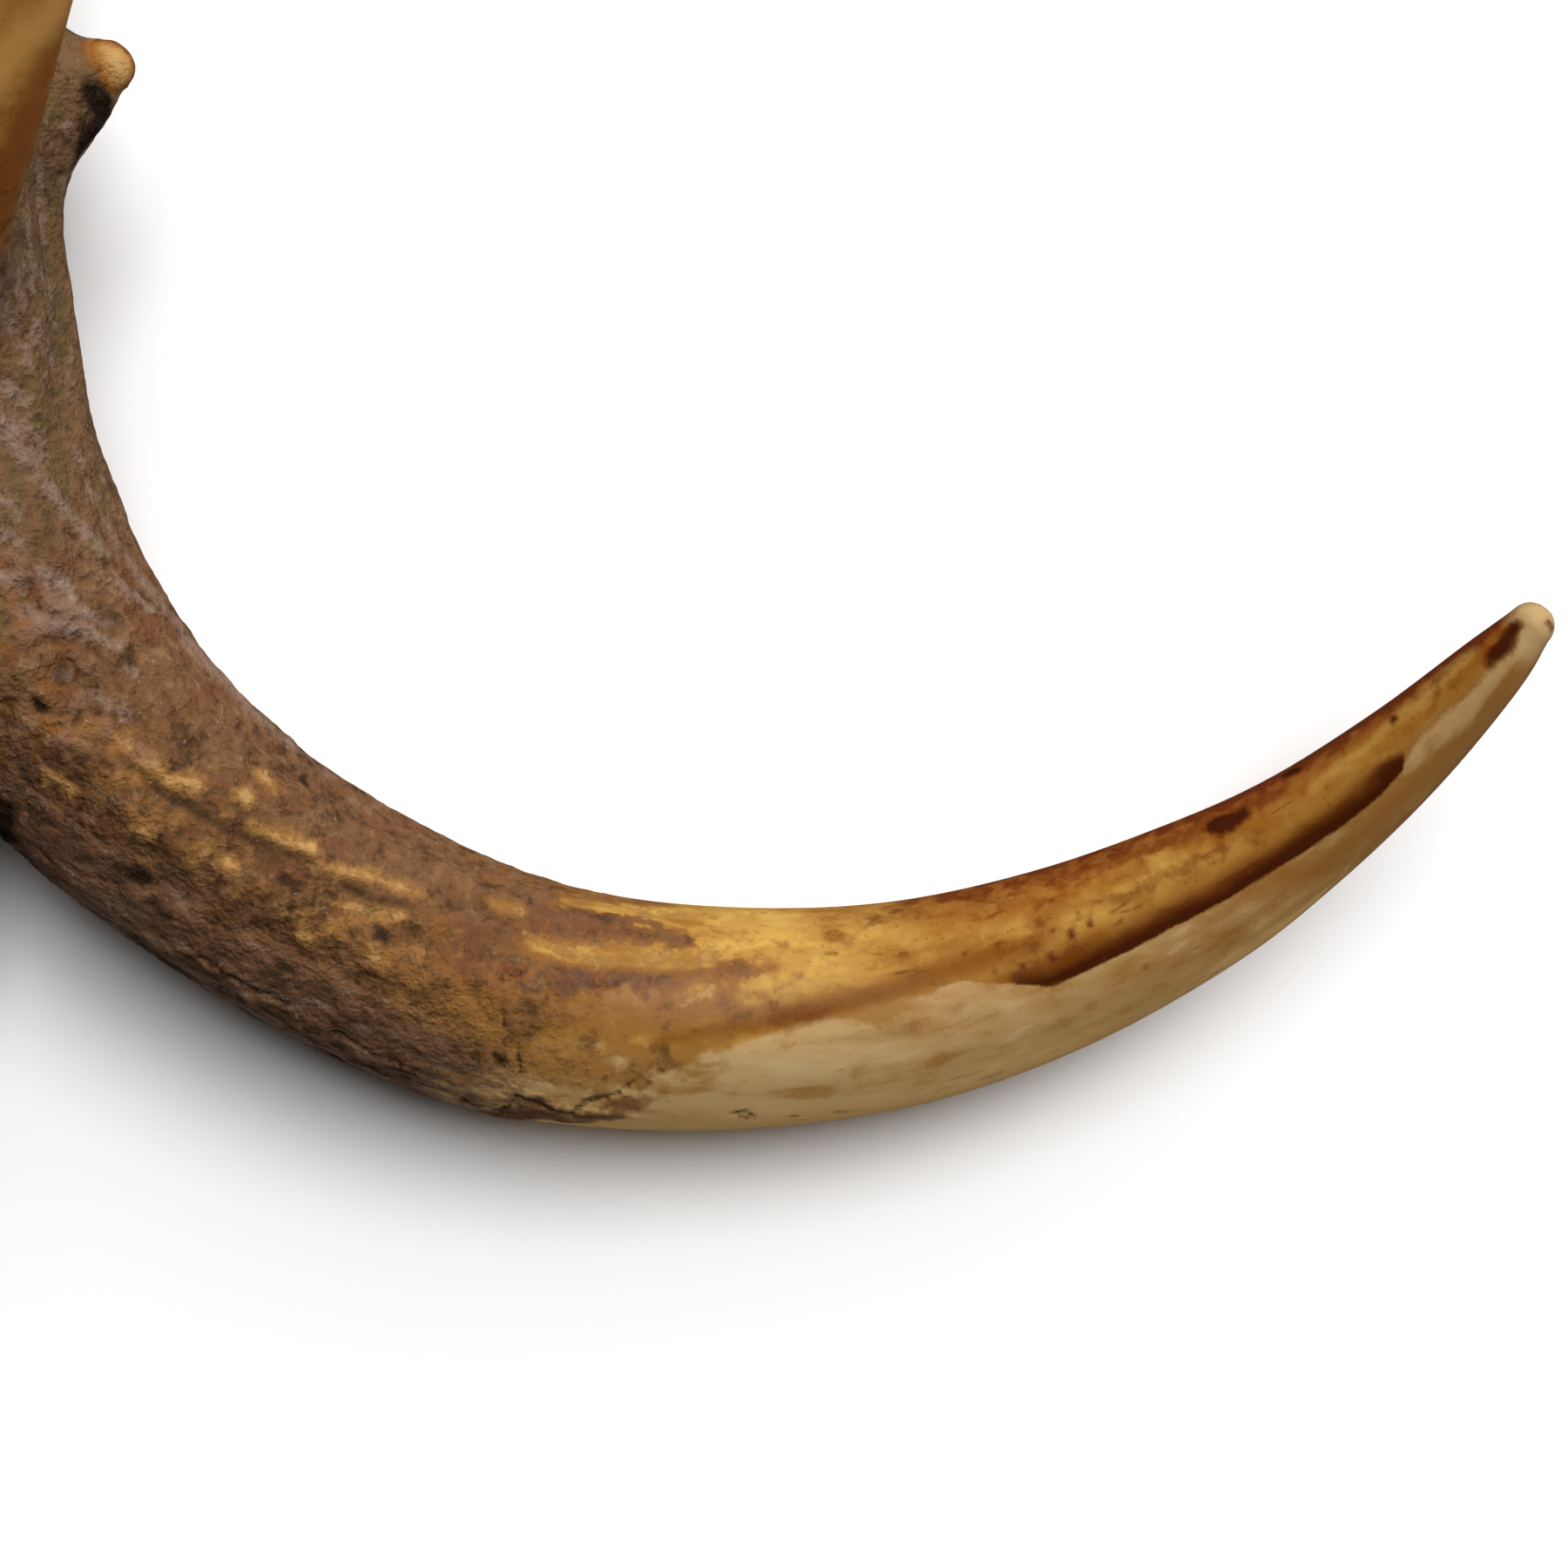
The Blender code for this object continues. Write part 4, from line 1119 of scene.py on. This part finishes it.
# %% What the photo shows on the bark
def paint_marks(tree, bark, bone):
    """Lilac dust, wrinkles, pearls, ochre spots and dirt, with a painted sheen along the beam's edge and a
    painted highlight and shade on the relief.
    """
    ragged = sum_of(tree, bone, fleck=0.6, mottle=0.7, grit=0.25)
    ochre = sum_of(tree, bone, (bone["ochre"], 1.0), (ragged, 0.4))
    amber = sum_of(tree, bone, (bone["amber_spot"], 1.0), (ragged, 0.4))
    groove = sum_of(tree, bone, (bone["groove"], 1.0), (ragged, 0.5))
    dust = sum_of(tree, bone, dust=0.9, fleck=0.5, grit=0.2)
    rim = sum_of(tree, bone, rim_dust=1.0, mottle=0.4, grit=0.2)
    low_tops = sum_of(tree, bone, wrinkle=0.8, grit=0.3, side_turn=0.8)
    low_gaps = sum_of(tree, bone, wrinkle=-0.8, side_turn=0.8)
    pearls = sum_of(tree, bone, pearl=1.0, fleck=0.1, grit=0.06)
    on_knuckle = mask_of(tree, bone["knuckle"], -2.5, 2.5)
    relief = bone["relief"]
    return paint(
        tree, bark,
        (WRINKLE_TOP, low_tops, 0.7, 1.5, 0.7), (BARK_DIRT, low_gaps, 0.7, 1.4, 0.7),
        (BARK_GOLD, ochre, -1.1, 0.4, 0.9), (OCHRE_LIGHT, ochre, 0.0, 1.0, 0.85),
        (AMBER, amber, -0.8, 0.8, 0.6), (BARK_BLACK, groove, -0.7, 0.6, 0.55),
        # The lilac along the beam's right edge is a painted sheen.
        (OCHRE_LIGHT, pearls, 0.2, 0.6, 0.5), (LILAC_DUST, rim, -0.9, 0.9, 0.6),
        # Pink on the knuckles' tops and lilac on the relief's tops are a painted highlight, and the dark in
        # the relief's hollows is a painted shade; the amber in the knuckles' hollows is the bone's own
        # colour.
        (KNUCKLE_PINK, relief, 0.25, 0.7, 0.6, on_knuckle), (AMBER, relief, 0.1, -0.4, 0.6, on_knuckle),
        (LILAC_DUST, dust, -0.8, 0.6, 0.7), (DUST_WHITE, dust, 0.5, 1.6, 0.55),
        (BARK_DIRT, relief, 0.05, -0.6, 0.7), (LILAC_DUST, relief, 0.5, 1.1, 0.25),
        (DUST_WHITE, bone["speckle"], 1.3, 1.8, 0.35))


# %% The honey side of the polish
def paint_honey(tree, bone):
    """Honey above, browner towards the tip, with the amber band, the stripe, the red rim and a painted
    highlight along the top near the tip.
    """
    to_tip = bone["to_tip"]
    tone = sum_of(tree, bone, haze=0.6, stain=0.3, grit=0.12, fleck=0.15)
    deep = sum_of(tree, bone, (to_tip, -0.01), (tone, -0.25))
    wobble = sum_of(tree, bone, smear=0.3, grit=0.15)
    above_edge = sum_of(tree, bone, (wobble, 0.4), worn=1.0, haze=0.35)
    glow = sum_of(tree, bone, (wobble, 0.8), tip_glow=1.0, haze=0.3)
    band = sum_of(tree, bone, (wobble, 0.9), amber_band=1.0, haze=0.4)
    side = sum_of(tree, bone, (mask_of(tree, to_tip, 55.0, 30.0), 0.1), side_turn=-1.0, mottle=0.09,
                  stain=0.06, fleck=0.03)
    flecked = sum_of(tree, bone, mottle=0.7, smear=0.5, to_tip=0.007)
    beyond_band = mask_of(tree, to_tip, 104.0, 84.0)
    rim_start = mask_of(tree, to_tip, 112.0, 74.0)
    on_stripe = mask_of(tree, bone["stripe"], -1.4, 0.2)
    return paint(
        tree, HONEY, (HONEY_LIGHT, tone, -0.1, 0.8, 0.75), (HONEY_DEEP, tone, -0.1, -0.8, 0.75),
        (HONEY_DEEP, deep, -0.95, -0.1, 0.5), (HONEY_DEEP, above_edge, -7.0, -2.0, 0.75, beyond_band),
        (RIM_BROWN, side, 0.35, 0.9, 0.88, rim_start), (RIM_RED, side, 0.84, 1.04, 0.9, rim_start),
        # A painted highlight streak in pale honey runs along the top near the tip.
        (BAND_AMBER, band, -2.0, 0.9, 0.92), (HONEY_LIGHT, glow, -1.2, 0.8, 0.45),
        (STRIPE_WARM, above_edge, -4.0, -1.8, 0.9, on_stripe),
        (STRIPE_BROWN, above_edge, -2.9, -0.8, 0.9, on_stripe),
        (BAND_BROWN, flecked, 1.3, 2.1, 0.6), (BAND_RED, bone["smear"], 0.85, 1.3, 0.5),
        (STRIPE_WARM, bone["speckle"], 1.0, 1.5, 0.4))


# %% The ivory side of the polish, and both together
def paint_polish(tree, bone):
    """Ivory below, where the polish was rubbed through, lightened at its lower edge by painted bounce light,
    and the cream tip.
    """
    tone = sum_of(tree, bone, stain=0.5, haze=0.55, grit=0.1)
    edge = sum_of(tree, bone, side_turn=1.0, to_tip=-0.006, smear=0.12, haze=0.3)
    warm = sum_of(tree, bone, (tone, -0.2), to_tip=-0.01)
    smears = sum_of(tree, bone, (edge, 0.7), smear=0.7)
    pale = sum_of(tree, bone, pale_wedge=1.0, smear=0.3, grit=0.1)
    ivory = paint(
        tree, IVORY, (IVORY_GOLD, warm, -1.2, -0.5, 0.65), (IVORY_GOLD, edge, 0.0, 0.8, 0.45),
        (IVORY_LIGHT, tone, 0.1, 0.9, 0.5), (IVORY_GOLD, tone, 0.0, -0.8, 0.85),
        # The ivory's lower edge is painted lighter: painted light standing in for light thrown up from the
        # white table.
        (IVORY_EDGE, bone["side_turn"], 0.55, 1.0, 0.8), (IVORY_SHADE, warm, -0.75, -0.2, 0.85),
        (IVORY_SHADE, smears, 0.7, 1.3, 0.4), (TAN_DARK, bone["speckle"], 1.3, 1.8, 0.25),
        (WEDGE_PALE, pale, -0.3, 0.5, 0.9, mask_of(tree, edge, 0.5, -0.1)),
        (TIP_CREAM, tone, 0.2, 1.4, 0.6, mask_of(tree, pale, 0.0, 0.9)))
    sharp = mask_of(tree, bone["to_tip"], 98.0, 84.0, 2.0)
    worn = sum_of(tree, bone, (bone["worn"], add(tree, MATH, sharp, 1.0)), smear=0.35, grit=0.15)
    return paint(tree, paint_honey(tree, bone), (ivory, worn, -0.6, 0.7, 1.0),
                 (TIP_CREAM, bone["cream"], -3.2, 0.9, 0.85))


# %% The stains on the polish
def paint_stains(tree, polish, bone):
    """Red stains and blots, which lie over both sides."""
    blotchy = sum_of(tree, bone, mottle=0.7, fleck=0.4, grit=0.3)
    red = sum_of(tree, bone, (bone["red_stain"], 1.0), (blotchy, 1.0))
    blot = sum_of(tree, bone, (bone["dark_blot"], 1.0), (blotchy, 0.3))
    low_band = sum_of(tree, bone, amber_band=1.0, smear=0.2)
    return paint(
        tree, polish, (BAND_BROWN, low_band, -0.8, 1.2, 0.5), (BAND_RED, red, -1.0, 1.1, 0.62),
        (BAND_RED, blot, -0.6, 0.1, 0.7), (BLOT_BROWN, blot, -0.2, 0.6, 0.9))


# %% [markdown]
# Next to the bark the polish is stained tan, most of all along the ivory's edge. There the bark is also
# thinner, and on the ivory side it ends more abruptly.


# %% Polish under thinning bark
def paint_tan(tree, polish, left, from_edge, bone):
    """Tan over the polish where the bark has only just been worn away."""
    worn = bone["worn"]
    tone = sum_of(tree, bone, patch=0.6, mottle=0.5, grit=0.25)
    tan = paint(tree, TAN, (IVORY_GOLD, worn, -6.0, 1.0, 0.85), (TAN_DARK, tone, 0.1, 1.2, 0.85),
                (BARK_GOLD, tone, -0.2, -1.0, 0.6), (OCHRE_LIGHT, tone, -0.9, -1.8, 0.25))
    on_ivory = add(tree, MATH, worn, 0.0, operation="MAXIMUM")
    bare = mask_of(tree, bone["bare_patch"], -3.0, 1.0, 1.0, mask_of(tree, worn, -7.0, -4.0))
    stain = sum_of(tree, bone, (left, 1.0), (from_edge, -1.0), (on_ivory, -2.0), (bare, 26.0),
                   (mask_of(tree, bone["tan_stain"], -2.5, 1.0), 16.0), patch=3.0, mottle=2.0, fleck=1.0)
    return paint(tree, polish, (tan, stain, -38.0, -16.0, 0.95, mask_of(tree, worn, 16.0, 3.0)))


# %% Where bark and polish meet
def paint_bone(tree, bone):
    """Polish stained tan next to the bark, bark in ragged tongues over it, and the marks on both."""
    left = bark_left(tree, bone)
    from_edge = add(tree, MATH, add(tree, MATH, bone["worn"], 3.0), operation="ABSOLUTE")
    polish = paint_tan(tree, paint_polish(tree, bone), left, from_edge, bone)
    polish = paint_stains(tree, polish, bone)
    low_end = add(tree, MATH, sum_of(tree, bone, (1.0, -3.0), bark=1.2),
                  mask_of(tree, bone["worn"], -1.0, 4.0), operation="MULTIPLY")
    left = sum_of(tree, bone, (left, 1.0), (mask_of(tree, from_edge, 9.0, 2.0), -9.0), (low_end, 1.0))
    bark = paint_marks(tree, paint_beam(tree, paint_bark(tree, bone), bone), bone)
    ragged = sum_of(tree, bone, mottle=1.2, fleck=0.8, grit=0.4)
    purple = sum_of(tree, bone, (bone["bark_band"], 1.0), (ragged, 0.9))
    bare = sum_of(tree, bone, (bone["bare_patch"], 1.0), (ragged, 0.9))
    knob = sum_of(tree, bone, knob_gold=1.0, haze=0.4, grit=0.15)
    shade = sum_of(tree, bone, deep_shade=1.0, patch=0.6, grit=0.2)
    bez = sum_of(tree, bone, bez_shade=1.0, haze=0.4)
    bez_gold = sum_of(tree, bone, bez_glow=1.0, haze=0.3)
    dirt = sum_of(tree, bone, dirt=0.8, dirt_cloud=1.0, grit=0.2)
    crack = sum_of(tree, bone, crack=1.0, fleck=0.15, grit=0.15)
    return paint(
        tree, polish,
        (bark, left, -20.0, 20.0, 1.0), (PURPLE_BARK, purple, -1.2, 1.6, 0.65),
        (TAN, bone["speckle"], 0.2, 1.2, 0.5, mask_of(tree, purple, -1.0, 0.6)),
        (ISLAND_GOLD, bare, -1.2, 1.0, 0.75),
        (OCHRE_LIGHT, bone["mottle"], 0.1, 0.9, 0.45, mask_of(tree, bare, 0.0, 1.2)),
        (RIM_BROWN, knob, -2.3, -0.9, 0.75), (BARK_BLACK, shade, -1.4, 0.7, 0.9),
        # The cream in the middle of the stunted point's gold cap is a painted highlight.
        (OCHRE_LIGHT, knob, -1.4, 0.8, 0.85), (TIP_CREAM, knob, 0.6, 1.8, 0.8),
        # On the bez tine the gold is a painted highlight and the rim brown is a painted shade.
        (BEZ_GOLD, bez_gold, -2.5, 0.9, 0.9), (RIM_BROWN, bez, -2.2, 0.9, 0.75),
        (BARK_DIRT, dirt, 0.0, 1.8, 0.6), (BARK_BLACK, crack, -0.3, 0.25, 0.75),
        (BARK_BLACK, bone["hollow"], -0.5, 0.5, 0.8), (SHED_BONE, bone["shed_face"], -0.9, -0.3, 1.0))


# %% [markdown]
# Bone has an IOR of about 1.5 and is no metal. Bark is dull, at a roughness of 0.58, and worn bone has the
# soft sheen of handled antler, at 0.36. Its mirror share is kept low, because years of handling left the
# surface finely scratched and the pale room would veil its deep colours. The bump is 0.35 mm deep.

# %% The whole material
BARK_ROUGHNESS = 0.58
POLISH_ROUGHNESS = 0.36
BONE_IOR = 1.5
MIRROR_SHARE = 0.07
BUMP_DEPTH = 0.35
POLISH_BUMP_SHARE = 0.05


def antler_bone():
    """Antler bone: stained bark and worn polish in one finish, as on the real thing."""
    material = bpy.data.materials.new("antler bone, stained bark and worn polish")
    material.use_nodes = True
    tree = material.node_tree
    shader = tree.nodes["Principled BSDF"]
    stored = {name: add(tree, "ShaderNodeAttribute", attribute_name=name).node.outputs
              for name in STORED + ("relief", "pearl", "worn", "to_tip", "grown", "grain", "place")}
    bone = {name: outputs["Fac"] for name, outputs in stored.items()}
    grain, place = (stored[name]["Vector"] for name in ("grain", "place"))
    bone.update(patterns(tree, grain, place, EDGE_LONG | FINISH_LONG, EDGE_ROUND | FINISH_ROUND))
    tree.links.new(paint_bone(tree, bone), shader.inputs["Base Color"])
    dull = mask_of(tree, sum_of(tree, bone, bark=1.0, mottle=6.0), -16.0, 16.0)
    tree.links.new(add(tree, RANGE, dull, 0.0, 1.0, POLISH_ROUGHNESS, BARK_ROUGHNESS),
                   shader.inputs["Roughness"])
    shader.inputs["Metallic"].default_value = 0.0
    shader.inputs["IOR"].default_value = BONE_IOR
    shader.inputs["Specular IOR Level"].default_value = MIRROR_SHARE
    rough = sum_of(tree, bone, mottle=0.7, fleck=0.4, grit=0.2, wrinkle=0.1)
    share = add(tree, RANGE, dull, 0.0, 1.0, POLISH_BUMP_SHARE, 1.0)
    bump = add(tree, "ShaderNodeBump", 0.8, BUMP_DEPTH * MM, None,
               add(tree, MATH, rough, share, operation="MULTIPLY"))
    tree.links.new(bump, shader.inputs["Normal"])
    return material


bone_finish = antler_bone()
print("the finish has", len(bone_finish.node_tree.nodes), "nodes")

# %% [markdown]
# ## Raising the relief
# Small pearls crowd the foot of the beam, most on its low side. The modifier runs once, and its result
# becomes a plain mesh. The antler is then moved to its place in the frame: the middle of its box over the
# origin, and its lowest point on the ground.

# %% Apply the tree
RELIEF_SEED = 5
PEARLS_START = 70.0
PEARLS_FULL = 10.0
PEARLS_TURN = 0.6

crowd = np.clip((PEARLS_START - found[0][2]) / (PEARLS_START - PEARLS_FULL), 0.0, 1.0) ** 2
low_side = np.clip(PEARLS_TURN - facing_up, 0.0, 1.0)
keep(skin, "pearl_crowd", weights[0] * crowd * low_side)
skin_object = hold("antler_skin", skin)
relief_modifier = skin_object.modifiers.new("bark relief", "NODES")
relief_tree = bark_relief_tree(bone_finish)
relief_modifier.node_group = relief_tree
sockets = {item.name: item.identifier for item in relief_tree.interface.items_tree if item.in_out == "INPUT"}
for name, value in RELIEF_INPUTS.items():
    relief_modifier[sockets[name]] = value
relief_modifier[sockets["Seed"]] = RELIEF_SEED
antler = evaluated_mesh(skin_object)
bpy.data.objects.remove(skin_object)

raised = vectors_of(antler.vertices, "co")
low = raised.min(axis=0)
high = raised.max(axis=0)
shift = np.array((-0.5 * (low[0] + high[0]), -0.5 * (low[1] + high[1]), -low[2]))
antler.transform(Matrix.Translation(shift))
antler.transform(Matrix.Scale(MM, 4))
print("the antler measures", [round(float(size), 1) for size in high - low], "mm")

# %% [markdown]
# ## Five pieces
# Every triangle beyond a cut ring goes to its tine. The open ends are closed by caps, which lie hidden
# between the pieces, and each point keeps the normal that it had on the whole antler, so no line shows
# at the forks.

# %% Owners
def owners(mesh):
    """The name of the piece that each triangle belongs to."""
    centres = vectors_of(mesh.polygons, "center") / MM - shift
    distances = np.array([branch.nearest(centres)[0] for branch in BRANCHES])
    names = np.array([branch.name for branch in BRANCHES])[distances.argmin(axis=0)]
    names[names == "stunted_point"] = "main_beam"
    for branch in BRANCHES:
        if branch.name in FORK_CUTS:
            middle, axis = cut_plane(branch)
            names[(names == branch.name) & ((centres - middle) @ axis < 0)] = "main_beam"
    return names


# %% Splitting
def piece_from(mesh, mask, name):
    """The chosen triangles as a closed piece, shaded with the whole antler's normals."""
    work = bmesh.new()
    work.from_mesh(mesh)
    work.faces.ensure_lookup_table()
    normals = work.verts.layers.float_vector.new("whole_normal")
    for vertex in work.verts:
        vertex[normals] = vertex.normal
    others = [face for face in work.faces if not mask[face.index]]
    bmesh.ops.delete(work, geom=others, context="FACES")
    rim = [edge for edge in work.edges if edge.is_boundary]
    bmesh.ops.triangle_fill(work, edges=rim, use_beauty=True)
    bmesh.ops.recalc_face_normals(work, faces=work.faces)
    own = bpy.data.meshes.new(name)
    work.to_mesh(own)
    work.free()
    own.shade_smooth()
    kept = own.attributes["whole_normal"]
    own.normals_split_custom_set_from_vertices(vectors_of(kept.data, "vector").tolist())
    own.attributes.remove(own.attributes["whole_normal"])
    own.materials.clear()
    own.materials.append(bone_finish)
    piece = hold(name + "_bone", own)
    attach(piece, "root")
    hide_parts(name)
    print(piece.name, len(own.polygons), "triangles,", len(rim), "edges at its cut")


antler.update()
owner_names = owners(antler)
for name in ("main_beam", *FORK_CUTS):
    piece_from(antler, owner_names == name, name)

# %% [markdown]
# ## Floor, light and camera
# The photo was taken on a white table under soft light from above its top edge. Area lamps would do, but
# their light would fall off over the long beam, so two soft suns stand for a window and the bright wall
# beside it. A dim grey world, darker overhead, fills the shadows. The floor hides from mirror rays,
# because its white mirror image would veil the polish.

# %% Floor
FLOOR_SIZE = 12.0
FLOOR_WHITE = (0.92, 0.92, 0.92, 1.0)
FLOOR_ROUGHNESS = 0.7
floor_mesh = bpy.data.meshes.new("floor")
with edited(floor_mesh) as floor_work:
    bmesh.ops.create_grid(floor_work, x_segments=1, y_segments=1, size=FLOOR_SIZE / 2)
floor = hold("floor", floor_mesh)
floor_finish = bpy.data.materials.new("white laminate")
floor_finish.use_nodes = True
floor_shader = floor_finish.node_tree.nodes["Principled BSDF"]
floor_shader.inputs["Base Color"].default_value = FLOOR_WHITE
floor_shader.inputs["Roughness"].default_value = FLOOR_ROUGHNESS
floor_mesh.materials.append(floor_finish)
floor.visible_glossy = False
print("the floor is", FLOOR_SIZE, "m across")

# %% World
WORLD_ZENITH = (0.02, 0.02, 0.02, 1.0)
WORLD_HORIZON = (0.14, 0.14, 0.14, 1.0)
scene = bpy.context.scene
world = bpy.data.worlds.new("pale studio")
world.use_nodes = True
sky = world.node_tree
rise = add(sky, "ShaderNodeSeparateXYZ", add(sky, "ShaderNodeTexCoord")).node.outputs["Z"]
rise = add(sky, MATH, rise, operation="ABSOLUTE")
low_share = add(sky, MATH, 1.0, rise, operation="SUBTRACT", use_clamp=True)
low_share = add(sky, MATH, low_share, 2.0, operation="POWER")
dome = add(sky, MIX, low_share, WORLD_ZENITH, WORLD_HORIZON, data_type="RGBA")
sky.links.new(dome, sky.nodes["Background"].inputs["Color"])
sky.nodes["Background"].inputs["Strength"].default_value = 1.0
scene.world = world
scene.view_settings.view_transform = "Standard"
print("the world's grey is", WORLD_HORIZON[0], "low down and", WORLD_ZENITH[0], "overhead")

# %% Lamps: the way to each, its spread in degrees and its strength
LAMPS = {"window": ((0.227, 0.377, 0.898), 38.0, 2.9), "high_wall": ((0.252, 0.762, 0.596), 57.0, 1.6)}
for name, (way, spread, strength) in LAMPS.items():
    lamp_data = bpy.data.lights.new(name, "SUN")
    lamp_data.angle = math.radians(spread)
    lamp_data.energy = strength
    hold(name, lamp_data).rotation_euler = Vector(way).to_track_quat("Z", "Y").to_euler()
print("the light comes from", " and ".join(LAMPS))

# %% Camera in the scene
camera_data = bpy.data.cameras.new("photo view")
camera_data.sensor_width = SENSOR
camera_data.lens = SENSOR * CAMERA_DISTANCE / (PHOTO_SIZE * MM_PER_PIXEL)
camera_data.clip_start = 0.01
camera = hold("photo_view", camera_data)
camera.location = Vector((eye + shift) * MM)
scene.camera = camera
print("lens", round(camera_data.lens, 1), "mm, camera at", [round(value, 4) for value in camera.location])
